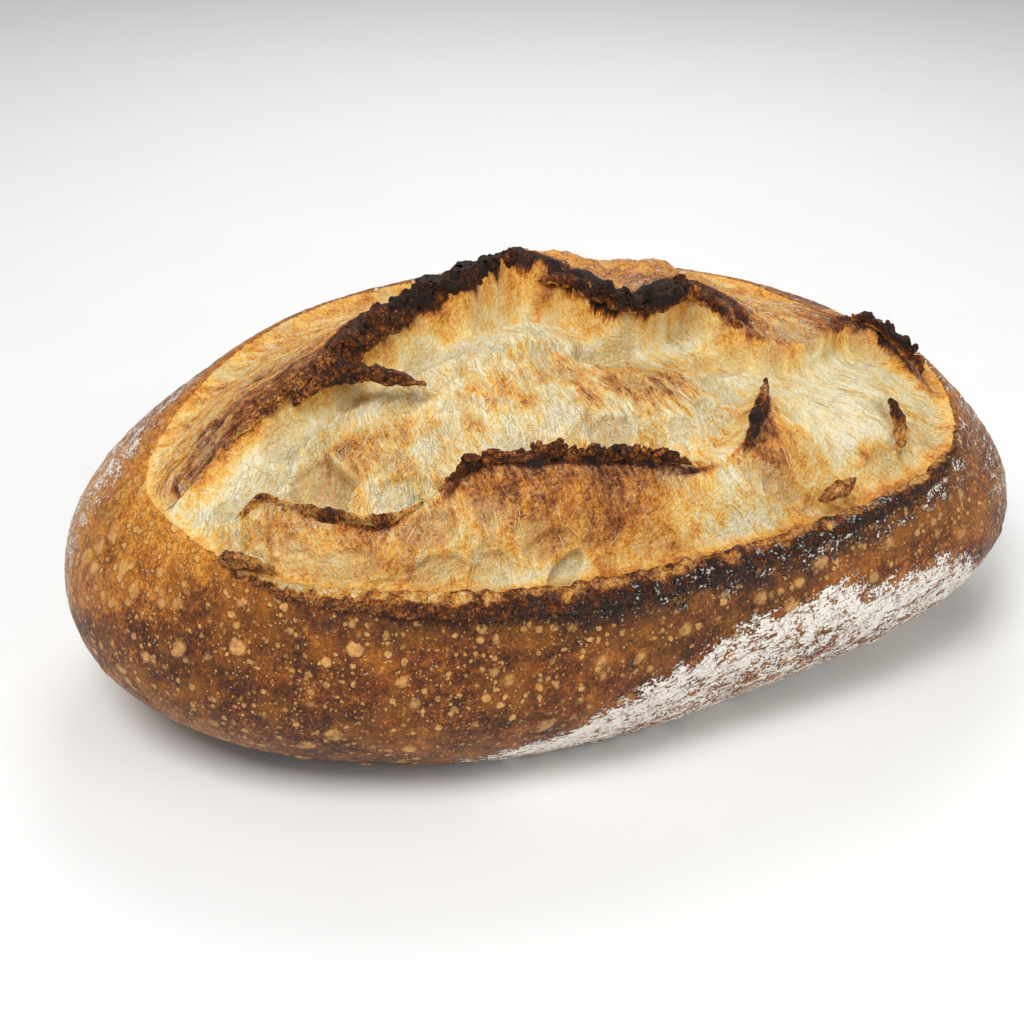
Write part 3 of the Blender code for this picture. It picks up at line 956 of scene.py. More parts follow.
@dataclass(frozen=True)
class Crust:
    """The baked outside, all round but for the burst."""

    rings: int = 370
    sides: int = 300
    # Girth in degrees, and how close the faces lie there
    crowding: tuple = ((-90, 0.35), (-62, 0.45), (-50, 1.3), (34, 1.3), (60, 0.7), (110, 0.7),
                       (125, 0.8), (200, 0.8), (230, 0.4), (270, 0.35))
    inset: float = 0.35  # millimetres inside the CAD form, for the blisters
    hidden: float = 7.0  # how far under the crumb it goes on
    usual_bake: float = 0.735
    flour_edge: tuple = ((-60, -30, 0), (-40, -20, 0), (-18, -9, 0), (2, 0, 0), (25, 5, 0), (44, 9, 0),
                         (54, 4, 0), (68, 5, 0), (84, 5, 0), (96, -2, 0), (106, -16, 0))

    def build(self, material: bpy.types.Material) -> bpy.types.Object:
        """Builds the crust.

        Args:
            material: Its finish.

        Returns:
            The crust.
        """
        skin = Skin()
        bmesh.ops.create_uvsphere(skin.mesh, u_segments=self.sides, v_segments=self.rings, radius=1.0)
        sphere = skin.read()
        turn = (np.degrees(np.arctan2(sphere[:, 1], sphere[:, 0])) + 90) % 360
        table = np.linspace(-90, 270, 721)
        weight = np.interp(table, *zip(*self.crowding))
        share = np.concatenate([[0], np.cumsum((weight[1:] + weight[:-1]) / 2)])
        girth = np.interp(turn / 360, share / share[-1], table)
        along = np.clip(-sphere[:, 2], -1, 1) * EGG.length / 2
        places = EGG.points(along, girth)
        ground = BURST.ground(places)
        points, traits = self.dress(along, girth, places, ground)
        skin.place(points, traits, self.drift(along, girth, places))
        skin.trim(ground.inside > self.hidden)
        skin.close(6.0)
        return skin.finish("loaf_crust", material)

    def drift(self, along: np.ndarray, girth: np.ndarray, places: np.ndarray) -> np.ndarray:
        """Flow of the streaks in the flour, aslant up the side.

        Args:
            along: Distance from the middle, in millimetres.
            girth: Angle in degrees.
            places: Points in millimetres.

        Returns:
            One row of three numbers for each place.
        """
        arc = girth * ARC
        across = 0.5 * along - 0.87 * arc + 2.0 * GRAIN.waves(places, 15.0)
        return np.stack([across, 0.87 * along + 0.5 * arc, places[:, 2]], -1)

    def dress(self, along: np.ndarray, girth: np.ndarray, places: np.ndarray,
              ground: Ground) -> tuple[np.ndarray, dict[Trait, np.ndarray]]:
        """Shapes and bakes the crust.

        Args:
            along: Distance from the middle, in millimetres.
            girth: Angle in degrees.
            places: Points of the egg in millimetres.
            ground: What the tears do there.

        Returns:
            Points in millimetres, and the numbers that the finish reads.
        """
        inside = ground.inside
        blister = np.zeros(len(along))
        lift = np.zeros(len(along))
        for size, tall, seed in ((9.0, 0.7, 3), (6.0, 0.5, 4)):
            gap, _, number = Grain(seed).cells(places, size)
            radius = 0.32 * ease(0.45, 1.0, number)
            dome = np.clip(1 - (gap / np.maximum(radius, 0.02)) ** 2, 0, 1)
            lift = np.maximum(lift, tall * np.sqrt(dome) * radius / 0.36)
            blister = np.maximum(blister, ease(0.0, 0.35, dome) * 0.9)
        front = ease(-70, -40, girth) * (1 - ease(95, 140, girth))
        clear = (1 - ease(-4, 0, inside)) * (0.35 + 0.65 * front)
        wrinkle = 0.25 * GRAIN.billows(places, 5.0) + 0.10 * GRAIN.billows(places, 1.8, 2)
        relief = ground.relief - 2.2 * ease(0.6, 3.0, inside) - self.inset
        relief += lift * clear + wrinkle
        points = places + EGG.normals(along, girth) * relief[:, None]
        bake = self.bake(along, girth, places, ground)
        traits = {Trait.BAKE: bake, Trait.BLISTER: blister * clear,
                  Trait.FLOUR: self.flour(along, girth, places, ground)}
        return points, traits

    def bake(self, along: np.ndarray, girth: np.ndarray, places: np.ndarray,
             ground: Ground) -> np.ndarray:
        """How far the crust is baked.

        Args:
            along: Distance from the middle, in millimetres.
            girth: Angle in degrees.
            places: Points in millimetres.
            ground: What the tears do there.

        Returns:
            Numbers from 0 to 1.
        """
        bake = self.usual_bake + 0.08 * GRAIN.billows(places, 30.0) + 0.12 * GRAIN.billows(places, 9.0, 4)
        # The upper front: darker in the middle, paler further right
        bake += 0.04 * ease(0, 40, along) * ease(-10, 10, girth)
        bake -= 0.10 * ease(20, 70, along) * ease(-10, 12, girth)
        # The left end: golden on top, less so below
        left = 1 - ease(-132, -100, along)
        bake -= 0.20 * left * ease(15, 45, girth)
        bake -= 0.04 * left * (1 - ease(-30, 10, girth))
        # The right end and the foot are darker
        bake += 0.05 * ease(85, 125, along)
        bake += 0.10 * (1 - ease(2, 16, places[:, 2]))
        # Beside the tear it is baked as the rim says
        burn = ground.rim[:, 2] - bake
        ragged = 3.0 * GRAIN.billows(places, 12.0) - ground.inside
        bake += burn * (1 - ease(4.0, 11.0, ragged)) * 0.9
        # The back
        bake += 0.06 * ease(120, 140, girth)
        return bake

    def flour(self, along: np.ndarray, girth: np.ndarray, places: np.ndarray,
              ground: Ground) -> np.ndarray:
        """How far flour covers the crust.

        Args:
            along: Distance from the middle, in millimetres.
            girth: Angle in degrees.
            places: Points in millimetres.
            ground: What the tears do there.

        Returns:
            Numbers from 0 to 1.
        """
        # The patch below the flour's edge, at the front right, is thickest along that edge
        edge = SurfaceLine(self.flour_edge).measure(places)[0] + 4.0 * GRAIN.billows(places, 14.0)
        band = (1 - ease(-3, 5, edge)) * ease(-66, -40, along) * (1 - ease(98, 116, along))
        under = 1 - ease(2, 30, girth)
        fade = ease(-20, -2, edge) * 0.40 + 0.60
        patch = 1.02 * band * under * fade
        # Thinner dust: the right end, the scorched rim, high on the left end, and the back
        end = 0.40 * ease(98, 120, along) * (0.6 + 0.8 * GRAIN.billows(places, 16.0))
        rim = 0.15 * (1 - ease(1.0, 6.0, np.abs(ground.inside + 4))) * ease(-40, 0, along)
        left = 0.42 * (1 - ease(-100, -70, along)) * ease(88, 100, girth) * (1 - ease(-9, -3, ground.inside))
        back = 0.38 * ease(112, 135, girth) * (0.7 + 0.9 * GRAIN.billows(places, 22.0))
        return np.maximum.reduce([patch, end, rim, left, back])


@dataclass(frozen=True)
class Crumb:
    """The torn crumb in the burst, from the front lip to the back edge."""

    columns: int = 466
    rows: int = 262
    along: tuple[float, float] = (-127.0, 120.0)
    girth: tuple[float, float] = (17.0, 131.0)
    hidden: float = 3.5  # how far under the crust it goes on
    sunk: float = 0.35  # millimetres that it lies inside the CAD form
    # Distance from a tear in millimetres, and how far the crumb is baked there
    wall_bake: tuple = ((0, 3, 8, 14, 22, 28), (0.76, 0.64, 0.58, 0.54, 0.43, 0.27))
    cave_bake: tuple = ((0, 2, 4, 8, 16, 24), (0.62, 0.44, 0.24, 0.11, 0.12, 0.24))
    roof_bake: tuple = ((0, 3, 8, 16, 30), (0.62, 0.50, 0.44, 0.39, 0.36))

    def build(self, material: bpy.types.Material) -> bpy.types.Object:
        """Builds the crumb.

        Args:
            material: Its finish.

        Returns:
            The crumb.
        """
        skin = Skin()
        bmesh.ops.create_grid(skin.mesh, x_segments=self.columns, y_segments=self.rows, size=1.0)
        flat = skin.read()
        along = np.interp(flat[:, 0], (-1, 1), self.along)
        girth = np.interp(flat[:, 1], (-1, 1), self.girth)
        points, traits, flow, inside = self.surface(along, girth)
        skin.place(points, traits, flow)
        skin.trim(inside < -self.hidden)
        skin.close(5.0)
        return skin.finish("torn_crumb", material)

    def surface(self, along: np.ndarray, girth: np.ndarray) -> tuple:
        """The crumb at any places.

        Args:
            along: Distance from the middle, in millimetres.
            girth: Angle in degrees.

        Returns:
            Points, the numbers that the finish reads, the flow, and how far each is in from the rim.
        """
        places = EGG.points(along, girth)
        ground = BURST.ground(places)
        flow = streaks(along, girth, places)
        # Behind the two ears the strands run along them
        beside = np.stack([1.1 * ground.ear, along, places[:, 2] * 0.2], -1)
        flow = np.where(((ground.ear < -1.0) & (along < 46))[:, None], beside, flow)
        points, traits = self.dress(along, girth, places, ground, flow)
        return points, traits, flow, ground.inside

    def dress(self, along: np.ndarray, girth: np.ndarray, places: np.ndarray, ground: Ground,
              flow: np.ndarray) -> tuple[np.ndarray, dict[Trait, np.ndarray]]:
        """Shapes and bakes the crumb.

        Args:
            along: Distance from the middle, in millimetres.
            girth: Angle in degrees.
            places: Points of the egg in millimetres.
            ground: What the tears do there.
            flow: Place in the flow of the strands.

        Returns:
            Points in millimetres, and the numbers that the finish reads.
        """
        inside = ground.inside
        open_crumb = ease(0, 4, inside)
        char = self.char(places, ground)
        threads = GRAIN.waves(flow, (2.6, 16.0, 6.0))
        cords = GRAIN.waves(flow + 77, (5.5, 26.0, 9.0))
        # About a third of the cells are open gas holes with a raised rim
        _, wall, number = Grain(5).cells(flow, (8.0, 13.0, 16.0))
        gas = ease(0.62, 0.72, number) * ease(0.04, 0.28, wall)
        rim_of_cell = ease(0.62, 0.72, number) * (1 - ease(0.0, 0.10, wall))
        relief = ground.relief - 2.6 * ease(-0.6, 2.2, -inside)
        relief += open_crumb * (0.30 * threads + 0.45 * cords + 0.35 * GRAIN.billows(places, 6.0))
        relief += open_crumb * (0.25 * rim_of_cell - 0.9 * gas) * (1 - char) + 0.4 * ground.cell_wall
        pits = ease(0.05, 0.4, 0.5 - GRAIN.cells(places, 2.9)[0])
        relief += char * (0.8 * GRAIN.billows(places, 3.4) - 0.9 * pits)
        relief += 0.12 * GRAIN.billows(places, 1.4, 2) * open_crumb
        points = places + EGG.normals(along, girth) * (relief - self.sunk)[:, None]
        bake = self.bake(along, places, ground, char) - 0.06 * threads - 0.05 * cords
        bake += 0.04 * rim_of_cell - 0.04 * gas - 0.10 * ground.cell_wall + 0.10 * char * pits
        # Fewer strands on char and gas, behind the ears, just in front of them and on the terrace's wall
        web = np.clip(0.8 - 0.6 * char - 0.4 * ground.gas + 0.4 * GRAIN.billows(places, 20.0), 0.1, 1.0)
        behind = ease(0, 6, -ground.ear)
        web *= 1 - 0.5 * behind * ease(-20, 10, along)
        web *= 1 - 0.75 * ease(-1, 1, ground.ear) * (1 - ease(5, 12, ground.ear))
        web *= 1 - 0.6 * ease(0.35, 0.85, ground.terrace_values[:, 1]) * ease(2, 6, -ground.terrace)
        dust = 0.08 * behind * ease(-10, 10, along) * ease(6, 12, inside) * (1 - char)
        traits = {Trait.BAKE: bake, Trait.WEB: web * open_crumb, Trait.FLOUR: dust,
                  Trait.GAS: np.maximum(ground.gas, 0.55 * gas)}
        return points, traits

    def char(self, places: np.ndarray, ground: Ground) -> np.ndarray:
        """1 on the burnt edges and 0 elsewhere."""
        ragged = 2.6 * GRAIN.billows(places, 7.0)
        off_crest = np.abs(ground.terrace + 0.8 + 0.7 * ragged)
        terrace = (1 - ease(0.2, 2.2, off_crest)) * ground.terrace_values[:, 1]
        behind = -ground.ear + ragged
        band = (1 - ease(-2.0, 1.5, behind - ground.ear_values[:, 2])) * ease(-2.0, -0.4, behind)
        ear = band * ground.ear_values[:, 1]
        return ease(0.40, 0.72, np.maximum(terrace, ear)) * ease(0, 3, ground.inside)

    def bake(self, along: np.ndarray, places: np.ndarray, ground: Ground,
             char: np.ndarray) -> np.ndarray:
        """How far the crumb is baked.

        Args:
            along: Distance from the middle, in millimetres.
            places: Points in millimetres.
            ground: What the tears do there.
            char: 1 on the burnt edges.

        Returns:
            Numbers from 0 to 1.
        """
        bake = 0.22 + 0.12 * GRAIN.billows(places, 26.0) + 0.24 * GRAIN.billows(places + 40, 9.0, 4)
        # The wall below the terrace, and the toasted strip above its edge
        below = -ground.terrace
        wall = np.interp(below, *self.wall_bake)
        strength = ease(0.35, 0.85, ground.terrace_values[:, 1]) * ease(-1, 1, below)
        near = strength * (1 - ease(24, 32, below)) * (1 - 0.8 * ease(32, 46, along))
        bake += near * (wall - bake) * 0.92
        above = ease(-1, 1, ground.terrace) * (1 - ease(1, 7, ground.terrace))
        bake += 0.16 * above * ease(0.4, 0.8, ground.terrace_values[:, 1])
        # The hollow in front of the ears is palest at its floor
        front = ground.ear
        cave = np.interp(front, *self.cave_bake)
        bake += ease(-1, 1, front) * (1 - ease(16, 26, front)) * (cave - bake) * 0.8
        # The roof behind the ears
        behind = -ground.ear
        roof = np.interp(behind - ground.ear_values[:, 2], *self.roof_bake)
        roof += 0.10 * ease(-15, 15, along) + 0.10 * GRAIN.billows(places, 12.0)
        bake += ease(-1, 1, behind) * (1 - ease(60, 90, behind)) * (roof - bake) * 0.85
        bake += ground.bake
        # Beside the rim, and last the crests of the tears
        edge = 1 - ease(2.0, 6.5, ground.inside)
        bake += edge * (0.5 * ground.rim[:, 2] + 0.04 - bake) * 0.8
        crest = np.maximum(ground.terrace_values[:, 1] * (np.abs(ground.terrace) < 8),
                           ground.ear_values[:, 1] * (np.abs(ground.ear) < 20))
        return bake + char * (crest - bake)


@dataclass(frozen=True)
class Flap:
    """A curled, ragged edge that stands up along a tear.

    Each row of points has along, girth, height and thickness in millimetres, and bake.
    """

    name: str
    points: tuple
    lean: float
    side: int
    seed: int
    foot: float = -0.6  # lowest point, as a share of the height
    low_pale: float = 0.30  # how much less its foot is baked
    inner_pale: float = 0.0  # how much less its face across the tear is baked
    flour: float = 0.0  # how far flour covers its scorched part
    ragged: float = 0.6  # how uneven its top is, as a share of the height
    notch: float = 9.0  # millimetres between its notches
    sides: int = 44
    step: float = 0.7  # millimetres of the tear for each ring of faces
    crumble: float = 0.9  # millimetres of roughness
    taper: float = 0.4  # smaller is blunter at its two ends

    def build(self, material: bpy.types.Material) -> bpy.types.Object:
        """Builds the flap.

        Args:
            material: Its finish.

        Returns:
            The flap.
        """
        line = SurfaceLine(self.points)
        rings = max(12, int(line.reach / self.step))
        skin = Skin()
        bmesh.ops.create_uvsphere(skin.mesh, u_segments=self.sides, v_segments=rings, radius=1.0)
        sphere = skin.read()
        polar = np.arccos(np.clip(-sphere[:, 2], -1, 1))
        around = np.arctan2(sphere[:, 1], sphere[:, 0])
        station = np.clip(polar / math.pi * (len(line.points) - 1), 0, len(line.points) - 1).astype(int)
        height, thickness, burn = line.table[station, 2:].T
        run = polar / math.pi * line.reach
        grain = Grain(self.seed)
        # Its outline: a thin, notched blade that leans
        taper = np.sin(polar) ** self.taper
        wave = grain.billows(np.stack([run, run * 0, run * 0], -1), self.notch, 4)
        up = np.cos(around)
        fringe = grain.billows(np.stack([run, run * 0 + 50, run * 0], -1), self.notch * 0.7, 4)
        top = 0.86 + self.ragged * wave
        low = self.foot * (1 + 0.8 * fringe) if self.foot > 0 else self.foot
        out = height * taper * (low + (top - low) * (up + 1) / 2)
        wide = np.sin(around) * thickness / 2 * taper * (1 - 0.25 * up)
        sideways = wide + self.lean * np.maximum(out, 0) * self.side
        points = line.points[station] + out[:, None] * line.normals[station]
        points = points + sideways[:, None] * line.across[station]
        # Its crumbling surface
        radial = up[:, None] * line.normals[station] + np.sin(around)[:, None] * line.across[station]
        lumps = 0.55 - grain.cells(points, 3.4)[0]
        pits = ease(0.0, 0.35, 0.46 - grain.cells(points + 20, 2.4)[0])
        rough = grain.billows(points, 4.0, 3) + 1.3 * lumps - 1.1 * pits
        points = points + radial * (self.crumble * rough * taper)[:, None]
        # Its bake, paler at the foot and on the inner face
        inner = ease(0.66, 1.10, np.sin(around) + 0.5 * grain.billows(points, 5.0))
        under = 1 - ease(-0.7, 0.1, up)
        bake = burn - self.low_pale * under - self.inner_pale * inner + 0.07 * rough
        bake += 0.10 * grain.billows(points, 8.0, 3)
        flow = np.stack([run, out, wide], -1)
        traits = {Trait.BAKE: bake, Trait.WEB: 0.5 * (1 - ease(0.6, 0.8, bake)),
                  Trait.FLOUR: self.flour * ease(0.80, 0.92, burn) * (0.5 + up / 2)}
        skin.place(points, traits, flow)
        return skin.finish(self.name, material)


FLAPS = (
    Flap("front_lip", (
        (-112, 42, 2.4, 3.0, 0.50), (-104, 35.5, 3.4, 5.0, 0.68), (-96, 31, 4.8, 5.6, 0.60),
        (-78, 26, 5.2, 6.2, 0.70), (-54, 22, 5.4, 6.4, 0.82), (-28, 20, 5.4, 6.4, 0.87),
        (2, 20, 5.6, 6.4, 0.92), (30, 22, 5.4, 6.0, 0.91), (58, 26, 5.0, 5.6, 0.90),
        (80, 31, 4.2, 4.4, 0.86), (95, 38, 3.2, 3.6, 0.78), (103, 45, 2.2, 3.0, 0.66)), lean=-0.35, side=1,
        seed=21, inner_pale=0.42, low_pale=-0.06, flour=0.09, crumble=1.1, sides=52, step=0.55,
        notch=8.0, ragged=0.8),
    Flap("left_flake", (
        (-112, 44, 3.0, 2.2, 0.44), (-109.5, 42.5, 8.5, 3.0, 0.60), (-106, 41, 7.5, 3.2, 0.54),
        (-101, 38.5, 4.0, 2.6, 0.48)), lean=0.1, side=1, seed=31, ragged=0.9, notch=2.4, step=0.35,
        low_pale=0.12, crumble=1.2),
    Flap("terrace_edge", (
        (-60, 46.5, 4.0, 2.0, 0.58), (-54, 48.5, 6.2, 2.6, 0.84), (-51, 49.2, 7.6, 3.4, 0.82),
        (-45, 49.5, 6.0, 2.6, 0.74), (-38, 48.3, 5.6, 2.2, 0.66), (-31, 47.4, 8.0, 3.2, 0.82),
        (-26, 46.5, 6.4, 2.6, 0.72), (-18, 45.2, 7.2, 3.2, 0.82), (-8, 43.8, 6.4, 2.8, 0.76),
        (-1, 42.8, 7.0, 3.0, 0.84), (6, 41, 4.0, 2.0, 0.64)), lean=0.1, side=1, seed=22, foot=-0.3,
        low_pale=0.26, notch=2.6, ragged=0.8, crumble=1.2, sides=48, step=0.4),
    Flap("terrace_low_edge", (
        (-106, 54, 1.6, 1.6, 0.36), (-99, 56, 4.6, 2.6, 0.62), (-94, 52, 3.0, 1.4, 0.38),
        (-87, 47.5, 4.4, 2.6, 0.74), (-82, 45.5, 3.6, 2.0, 0.52), (-79, 44, 3.2, 1.6, 0.42),
        (-75, 43, 5.0, 3.2, 0.80), (-71, 43.5, 3.4, 1.8, 0.44), (-64, 45, 3.6, 1.8, 0.42)),
        lean=0.2, side=1, seed=23, foot=-0.4, low_pale=0.14, notch=3.0, crumble=0.7, sides=36, step=0.4),
    Flap("left_ear", (
        (-101, 75.5, 4.4, 4.4, 0.56), (-90, 78.5, 6.6, 5.6, 0.66), (-80, 80, 8.0, 6.0, 0.64),
        (-69, 82, 9.8, 6.8, 0.76), (-57, 86, 11.4, 7.6, 0.84), (-44, 90, 12.4, 8.0, 0.92),
        (-30, 93.5, 13.2, 8.0, 0.96), (-18, 97, 13.4, 6.0, 0.95), (-6, 100, 12.6, 4.2, 0.88),
        (6, 100, 11.0, 3.4, 0.80)), lean=0.26, side=-1, seed=24, foot=0.1, low_pale=0.20, notch=6.0,
        crumble=1.4, sides=72, step=0.5),
    Flap("right_ear", (
        (-4, 94, 6.0, 3.6, 0.66), (1, 88, 8.4, 4.6, 0.78), (6, 80, 10.6, 6.0, 0.92),
        (14, 77, 10.6, 6.8, 0.96), (23, 79, 10.6, 6.4, 0.94), (30, 83, 10.6, 5.0, 0.76),
        (38, 79, 10.0, 5.4, 0.78), (43, 72, 7.0, 4.0, 0.72)), lean=0.3, side=-1, seed=25, foot=0.30,
        low_pale=0.34, notch=5.0, crumble=1.7, sides=64, step=0.45),
    Flap("back_scorched_edge", (
        (80, 79, 4.0, 3.0, 0.62), (91, 80, 6.0, 3.6, 0.80), (98, 76, 7.0, 4.0, 0.88),
        (101, 69, 7.6, 4.0, 0.90), (103, 62, 6.0, 3.6, 0.80)), lean=0.1, side=-1, seed=26, foot=0.3,
        crumble=1.2, notch=5.0, step=0.45),
    Flap("terrace_spur", (
        (22, 42, 4.0, 2.4, 0.72), (27, 46, 7.0, 4.0, 0.93), (30, 49, 6.6, 3.4, 0.90),
        (33, 52, 5.0, 2.4, 0.56), (37, 55, 5.6, 2.2, 0.70), (39, 57.5, 5.6, 1.8, 0.95)), lean=0.2, side=1,
        seed=27, foot=0.3, notch=4.0, step=0.4),
    Flap("low_flake", (
        (40, 30, 2.0, 3.0, 0.50), (46, 31, 3.6, 4.0, 0.58), (50, 32, 3.4, 3.4, 0.54),
        (54, 33.5, 3.6, 2.2, 0.76)), lean=0.2, side=1, seed=28, notch=4.0, step=0.4),
    Flap("right_flake", (
        (72, 38, 1.8, 2.4, 0.46), (76, 42, 2.6, 2.6, 0.50), (79, 47, 3.4, 2.2, 0.80),
        (80, 53, 2.6, 1.6, 0.84)), lean=0.2, side=1, seed=29, notch=4.0, step=0.4),
    Flap("ear_branch", (
        (-84, 77, 6.0, 5.0, 0.66), (-74, 78.5, 8.4, 6.0, 0.80), (-66, 77, 8.0, 6.0, 0.79),
        (-59, 73, 7.4, 5.0, 0.80), (-52, 69.5, 5.0, 3.4, 0.64)), lean=0.4, side=-1, seed=30, foot=0.1,
        low_pale=0.2, notch=4.0, crumble=1.2, sides=48, step=0.45),
)


@dataclass(frozen=True)
class CharredCrumbs:
    """Small burnt crumbs that cling to the scorched edges."""

    spacing: float = 0.9  # millimetres of edge for each crumb
    size: tuple[float, float] = (0.5, 1.2)
    least_bake: float = 0.70
    rise: tuple[float, float] = (0.5, 0.86)  # shares of the edge's height
    spread: float = 0.4  # share of the edge's thickness
    flaps: tuple[Flap, ...] = (FLAPS[2], *FLAPS[4:7])
    seed: int = 40

    def build(self, material: bpy.types.Material) -> bpy.types.Object:
        """Builds the crumbs.

        Args:
            material: Their finish.

        Returns:
            All of them, as one object.
        """
        drawn = np.random.default_rng(self.seed)
        middles, bakes = [], []
        for flap in self.flaps:
            line = SurfaceLine(flap.points)
            picked = drawn.integers(0, len(line.points), int(line.reach / self.spacing))
            picked = picked[line.table[picked, 4] > self.least_bake]
            height, thickness, bake = line.table[picked, 2:].T
            taper = np.sin(picked / (len(line.points) - 1) * math.pi) ** flap.taper
            rise = height * taper * drawn.uniform(*self.rise, len(picked))
            aside = drawn.uniform(-self.spread, self.spread, len(picked)) * thickness * taper
            aside += flap.lean * flap.side * rise
            middles.append(line.points[picked] + rise[:, None] * line.normals[picked]
                           + aside[:, None] * line.across[picked])
            bakes.append(bake)
        middles, bakes = np.concatenate(middles), np.concatenate(bakes)
        skin = Skin()
        shape = skin.balls(len(middles), 6, 5)
        size = drawn.uniform(*self.size, len(middles)) ** 1.3
        stretch = drawn.uniform(0.7, 1.3, (len(middles), 1, 3))
        points = (middles[:, None] + shape * stretch * size[:, None, None]).reshape(-1, 3)
        points += np.repeat(size, len(shape))[:, None] * 0.35 * GRAIN.waves(points, 0.9)[:, None]
        bake = np.repeat(bakes + drawn.uniform(-0.12, 0.04, len(bakes)), len(shape))
        skin.place(points, {Trait.BAKE: bake}, points)
        return skin.finish("charred_crumbs", material)


@dataclass(frozen=True)
class DoughThreads:
    """Thin strands of torn dough that stand off the crumb."""

    count: int = 2000
    half_thick: tuple[float, float] = (0.06, 0.13)
    lift: tuple[float, float] = (0.05, 0.40)
    run: tuple[float, float] = (1.5, 5.0)  # girth in degrees that each spans
    area: tuple = ((-118, 24), (108, 92))  # lowest and highest place along and girth
    off_rim: float = 4.0
    most_bake: float = 0.55
    tone: tuple[float, float] = (0.02, 0.30)
    seed: int = 41
    rings: int = 8
    sides: int = 4

    def build(self, material: bpy.types.Material) -> bpy.types.Object:
        """Builds the threads.

        Args:
            material: Their finish.

        Returns:
            All of them, as one object.
        """
        drawn = np.random.default_rng(self.seed)
        share = np.linspace(0, 1, self.rings + 1)
        start = drawn.uniform(*self.area, (self.count, 2))
        bend = drawn.normal(0, 2.0, (self.count, 1)) * share**2
        bend = bend + drawn.normal(0, 1.0, (self.count, 1)) * share
        girth = start[:, 1:] + drawn.uniform(*self.run, (self.count, 1)) * share
        fan = (FAN_HEIGHT - ARC * girth) / (FAN_HEIGHT - ARC * start[:, 1:])
        along = FAN_MIDDLE + (start[:, :1] - FAN_MIDDLE) * fan + bend
        points, traits, flow, inside = Crumb().surface(along.ravel(), girth.ravel())
        shape = along.shape
        bake, inside = traits[Trait.BAKE].reshape(shape), inside.reshape(shape)
        front = streaks(along.ravel(), girth.ravel(), EGG.points(along.ravel(), girth.ravel()))
        clear = np.isclose(flow, front).all(1).reshape(shape).all(1)
        kept = clear & (inside.min(1) > self.off_rim) & (bake.max(1) < self.most_bake)
        kept = np.flatnonzero(kept)
        path = points.reshape(*shape, 3)[kept]
        lift = drawn.uniform(*self.lift, (len(kept), 1)) * np.sin(math.pi * share) - 0.05
        normal = EGG.normals(along[kept], girth[kept])
        path = path + normal * lift[..., None]
        side = np.cross(normal, np.gradient(path, axis=1))
        side /= np.linalg.norm(side, axis=-1)[..., None]
        skin = Skin()
        sphere = skin.balls(len(kept), self.sides, self.rings)
        ring = np.rint(np.arccos(np.clip(-sphere[:, 2], -1, 1)) / math.pi * self.rings).astype(int)
        around = np.arctan2(sphere[:, 1], sphere[:, 0])
        thick = drawn.uniform(*self.half_thick, (len(kept), 1)) * np.sin(math.pi * ring / self.rings) ** 0.5
        out = np.cos(around)[:, None] * normal[:, ring] + np.sin(around)[:, None] * side[:, ring]
        points = (path[:, ring] + thick[..., None] * out).reshape(-1, 3)
        tone = np.repeat(drawn.uniform(*self.tone, len(kept)), len(sphere))
        skin.place(points, {Trait.BAKE: tone}, points)
        return skin.finish("dough_threads", material)


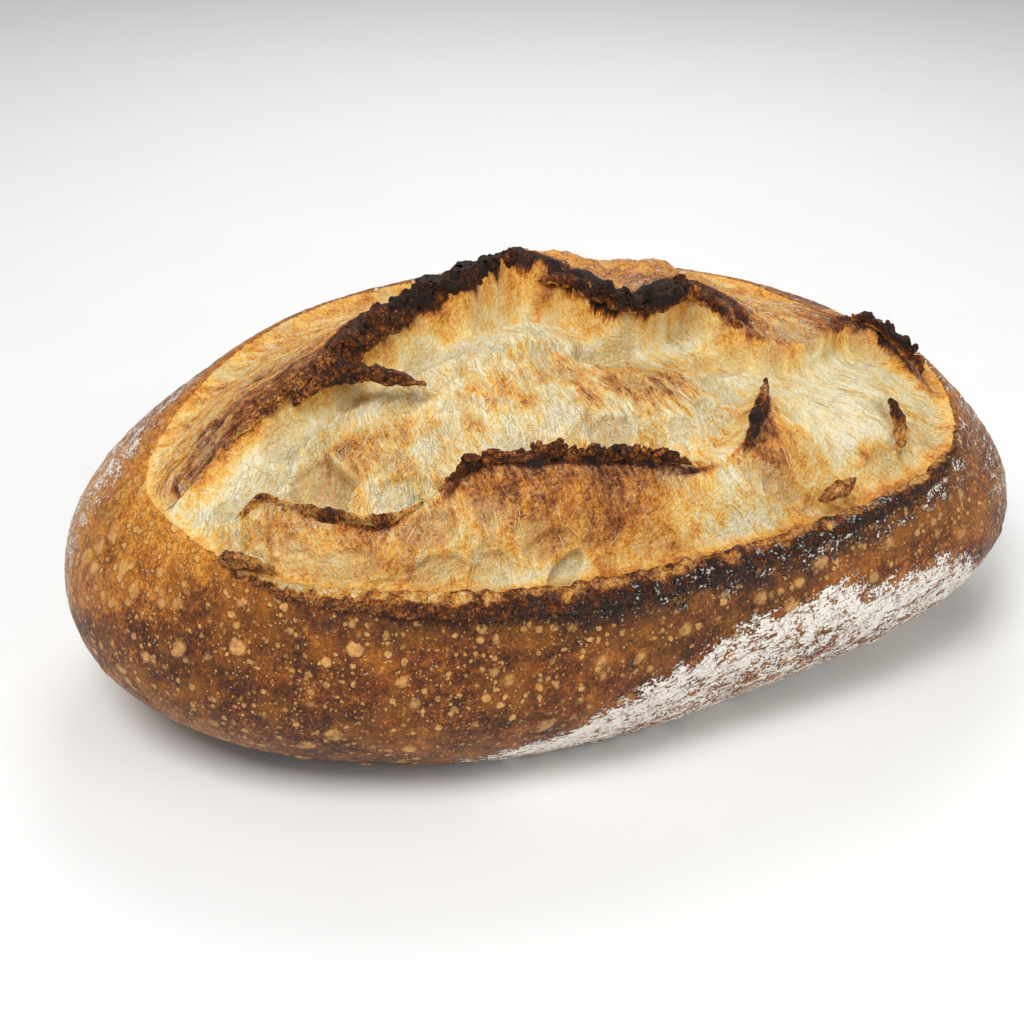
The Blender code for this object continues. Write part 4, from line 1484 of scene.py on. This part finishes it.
@dataclass(frozen=True)
class Studio:
    """Camera, soft light and a plain pale floor."""

    yaw: float = -25.024
    elevation: float = 30.252
    roll: float = 0.899
    distance: float = 0.462049
    target: tuple[float, float, float] = (-0.013828, 0.0, 0.03794)
    lens: float = 54.22
    floor_half: float = 3.0
    floor_drop: float = 0.0003
    floor_tones: tuple[Colour, Colour] = ((0.90, 0.90, 0.89), (0.93, 0.93, 0.92))
    # Name, azimuth and elevation in degrees, distance and size in metres, power in watts
    lamps: tuple = (
        ("key", -48.0, 56.0, 0.9, 0.36, 5.2),
        ("fill", 30.0, 28.0, 1.1, 0.6, 3.3),
        ("back", 150.0, 50.0, 0.9, 0.5, 3.0),
    )
    surround: float = 0.33

    def direction(self, azimuth: float, elevation: float) -> Vector:
        """From the loaf towards a viewer at that azimuth, where 0 is the front and minus is left."""
        turn, rise = math.radians(azimuth), math.radians(elevation)
        return Vector((math.sin(turn) * math.cos(rise), -math.cos(turn) * math.cos(rise), math.sin(rise)))

    def camera(self) -> None:
        """Sets the camera where the photograph was taken."""
        back = self.direction(self.yaw, self.elevation)
        right = (-back).cross(Vector((0, 0, 1))).normalized()
        up = right.cross(-back)
        tilt = math.radians(self.roll)
        across = math.cos(tilt) * right + math.sin(tilt) * up
        upright = math.cos(tilt) * up - math.sin(tilt) * right
        data = bpy.data.cameras.new("camera")
        data.lens, data.sensor_width = self.lens, 36.0
        made = bpy.data.objects.new("camera", data)
        place = Matrix((across, upright, back)).transposed().to_4x4()
        place.translation = Vector(self.target) + back * self.distance
        made.matrix_world = place
        bpy.context.scene.collection.objects.link(made)
        bpy.context.scene.camera = made

    def lights(self) -> None:
        """Sets the lamps and the light of the room."""
        target = Vector(self.target)
        for name, azimuth, elevation, distance, size, power in self.lamps:
            data = bpy.data.lights.new(name, "AREA")
            data.size, data.energy = size, power
            made = bpy.data.objects.new(name, data)
            toward = self.direction(azimuth, elevation)
            made.location = target + toward * distance
            made.rotation_euler = toward.to_track_quat("Z", "Y").to_euler()
            bpy.context.scene.collection.objects.link(made)
        room = bpy.data.worlds.new("room")
        bpy.context.scene.world = room
        room.use_nodes = True
        background = room.node_tree.nodes["Background"]
        background.inputs["Color"].default_value = (1.0, 1.0, 1.0, 1.0)
        background.inputs["Strength"].default_value = self.surround

    def floor(self) -> None:
        """Lays the floor."""
        mesh = bmesh.new()
        bmesh.ops.create_grid(mesh, x_segments=1, y_segments=1, size=self.floor_half)
        bmesh.ops.translate(mesh, verts=mesh.verts, vec=(0, 0, -self.floor_drop))
        data = bpy.data.meshes.new("floor")
        mesh.to_mesh(data)
        mesh.free()
        paint = Paint("pale_floor")
        tone = paint.mix(paint.noise(60.0, 2.0), *self.floor_tones)
        paint.tree.links.new(tone, paint.shader.inputs["Base Color"])
        paint.shader.inputs["Roughness"].default_value = 0.9
        data.materials.append(paint.material)
        made = bpy.data.objects.new("floor", data)
        bpy.context.scene.collection.objects.link(made)


def main() -> None:
    """Builds the bread and the studio."""
    logging.basicConfig(level=logging.INFO)
    crust_finish = Baked("baked_crust", roughness=0.36, shine=0.24, patchy=0.44, grainy=0.46, crust=True)
    edge_finish = Baked("scorched_edge", roughness=0.6, patchy=0.55, grainy=0.80, rough_height=1.3)
    dough, baked, scorched = Baked("torn_crumb").make(), crust_finish.make(), edge_finish.make()
    Crust().build(baked)
    Crumb().build(dough)
    for flap in FLAPS:
        flap.build(scorched)
    CharredCrumbs().build(scorched)
    DoughThreads().build(dough)
    studio = Studio()
    studio.camera()
    studio.lights()
    studio.floor()
    bpy.context.scene.view_settings.view_transform = "Standard"


if __name__ == "__main__":
    main()
